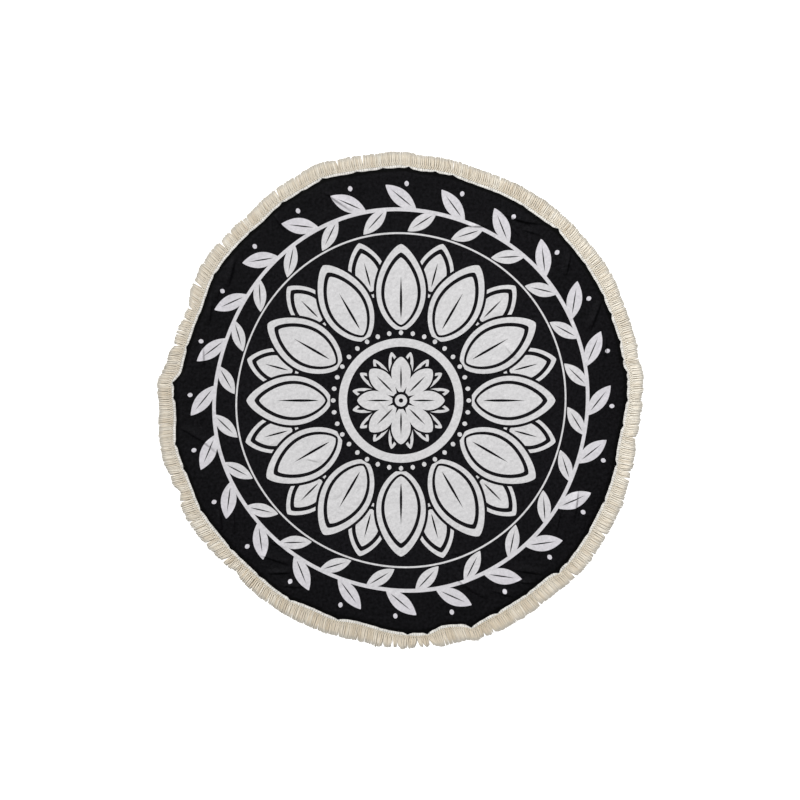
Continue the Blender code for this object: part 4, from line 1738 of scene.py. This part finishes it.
@dataclass
class Studio:
    """A pale floor, soft light, and a camera straight above.

    Attributes:
        floor: The floor's finish.
        floor_side: The floor's side, in metres.
        floor_drop: How far it lies under the towel, so that no two faces share a plane.
        sky: The brightness of the light from all round.
        key: The strength of the light from the upper left.
        key_bearing: The bearing that it comes from, in degrees.
        key_rise: How high it stands, in degrees.
        key_soft: How broad it looks, in degrees.
        fill: The power of the weak panel at the upper right, in watts.
        fill_place: Where it hangs, in metres.
        fill_side: Its side, in metres.
        camera_high: How high the camera hangs, in metres.
        picture: How many pixels wide the photograph is.
        pixel: How many millimetres of the floor one of them shows.
        view_wide: How much of the floor its picture takes in, in metres.
        view_middle: The middle of the picture, in metres.
    """

    floor: LightTable = field(default_factory=LightTable)
    floor_side: float = 60.0
    floor_drop: float = 0.1 * MM
    sky: float = 0.34
    key: float = 3.4
    key_bearing: float = 125.0
    key_rise: float = 38.0
    key_soft: float = 14.0
    fill: float = 32.0
    fill_place: tuple[float, float, float] = (1.9, 2.2, 2.4)
    fill_side: float = 1.6
    camera_high: float = 4.6
    picture: ClassVar[int] = 800
    pixel: ClassVar[float] = 3.067
    view_wide: float = picture * pixel * MM
    view_middle: tuple[float, float] = (-0.5 * MM, 1.1 * MM)

    def _floor(self) -> None:
        """Lays the floor."""
        half = self.floor_side / 2.0
        mesh = bpy.data.meshes.new("floor")
        sides = ((-half, -half), (half, -half), (half, half), (-half, half))
        corners = [(x, y, -self.floor_drop) for x, y in sides]
        mesh.from_pydata(corners, [], [(0, 1, 2, 3)])
        mesh.materials.append(self.floor.material())
        linked("floor", mesh)

    def _light(self) -> None:
        """Lights the room all round, and softly from the upper left and, more weakly, the upper right."""
        scene = bpy.context.scene
        scene.world = bpy.data.worlds.new("studio")
        scene.world.use_nodes = True
        background = scene.world.node_tree.nodes["Background"]
        background.inputs["Color"].default_value = (1.0, 1.0, 1.0, 1.0)
        background.inputs["Strength"].default_value = self.sky
        light = bpy.data.lights.new("soft_key", "SUN")
        light.energy = self.key
        light.angle = math.radians(self.key_soft)
        key = bpy.data.objects.new("soft_key", light)
        key.rotation_euler = (0.0, math.radians(90.0 - self.key_rise), math.radians(self.key_bearing))
        scene.collection.objects.link(key)
        panel = bpy.data.lights.new("soft_fill", "AREA")
        panel.energy = self.fill
        panel.size = self.fill_side
        fill = bpy.data.objects.new("soft_fill", panel)
        fill.location = self.fill_place
        fill.rotation_euler = Vector(self.fill_place).to_track_quat("Z", "Y").to_euler()
        scene.collection.objects.link(fill)
        scene.view_settings.view_transform = "Standard"

    def _camera(self) -> None:
        """Hangs the camera straight above, with the photograph's framing."""
        data = bpy.data.cameras.new("camera")
        data.lens = data.sensor_width * self.camera_high / self.view_wide
        camera = bpy.data.objects.new("camera", data)
        camera.location = (*self.view_middle, self.camera_high)
        bpy.context.scene.collection.objects.link(camera)
        bpy.context.scene.camera = camera

    def build(self) -> None:
        """Builds the floor, the light and the camera."""
        self._floor()
        self._light()
        self._camera()


def main() -> None:
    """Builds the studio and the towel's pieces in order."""
    logging.basicConfig(level=logging.INFO, format="%(name)s %(message)s")
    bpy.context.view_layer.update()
    Studio().build()
    hem = Hem()
    tape = HeadingTape(hem)
    cloth = PrintedCloth(hem, tape)
    sheet = cloth.build()
    woven = tape.build()
    seam = StitchRow(
        hem, "tape_seam", SewingThread("white polyester thread", "#CFCFC9", "#9A9A93"),
        out=2.0 * MM, z=tape.over_cloth + 0.75 * MM, pitch=3.4 * MM, long=2.6 * MM, wide=0.6 * MM,
        follows=tape,
    ).build()
    # Grey stitches whose dark colour is partly the thread and partly painted shade for the holes of the
    # knotted heading
    edging = StitchRow(
        hem, "heading_edging", SewingThread("grey thread with painted hole shade", "#86867E", "#5C5C55"),
        out=8.0 * MM, z=tape.past_cloth + 1.0 * MM, pitch=6.2 * MM, long=3.6 * MM, wide=1.5 * MM,
    ).build()
    strands = Fringe(hem).build()
    cloth.declare()


if __name__ == "__main__":
    main()
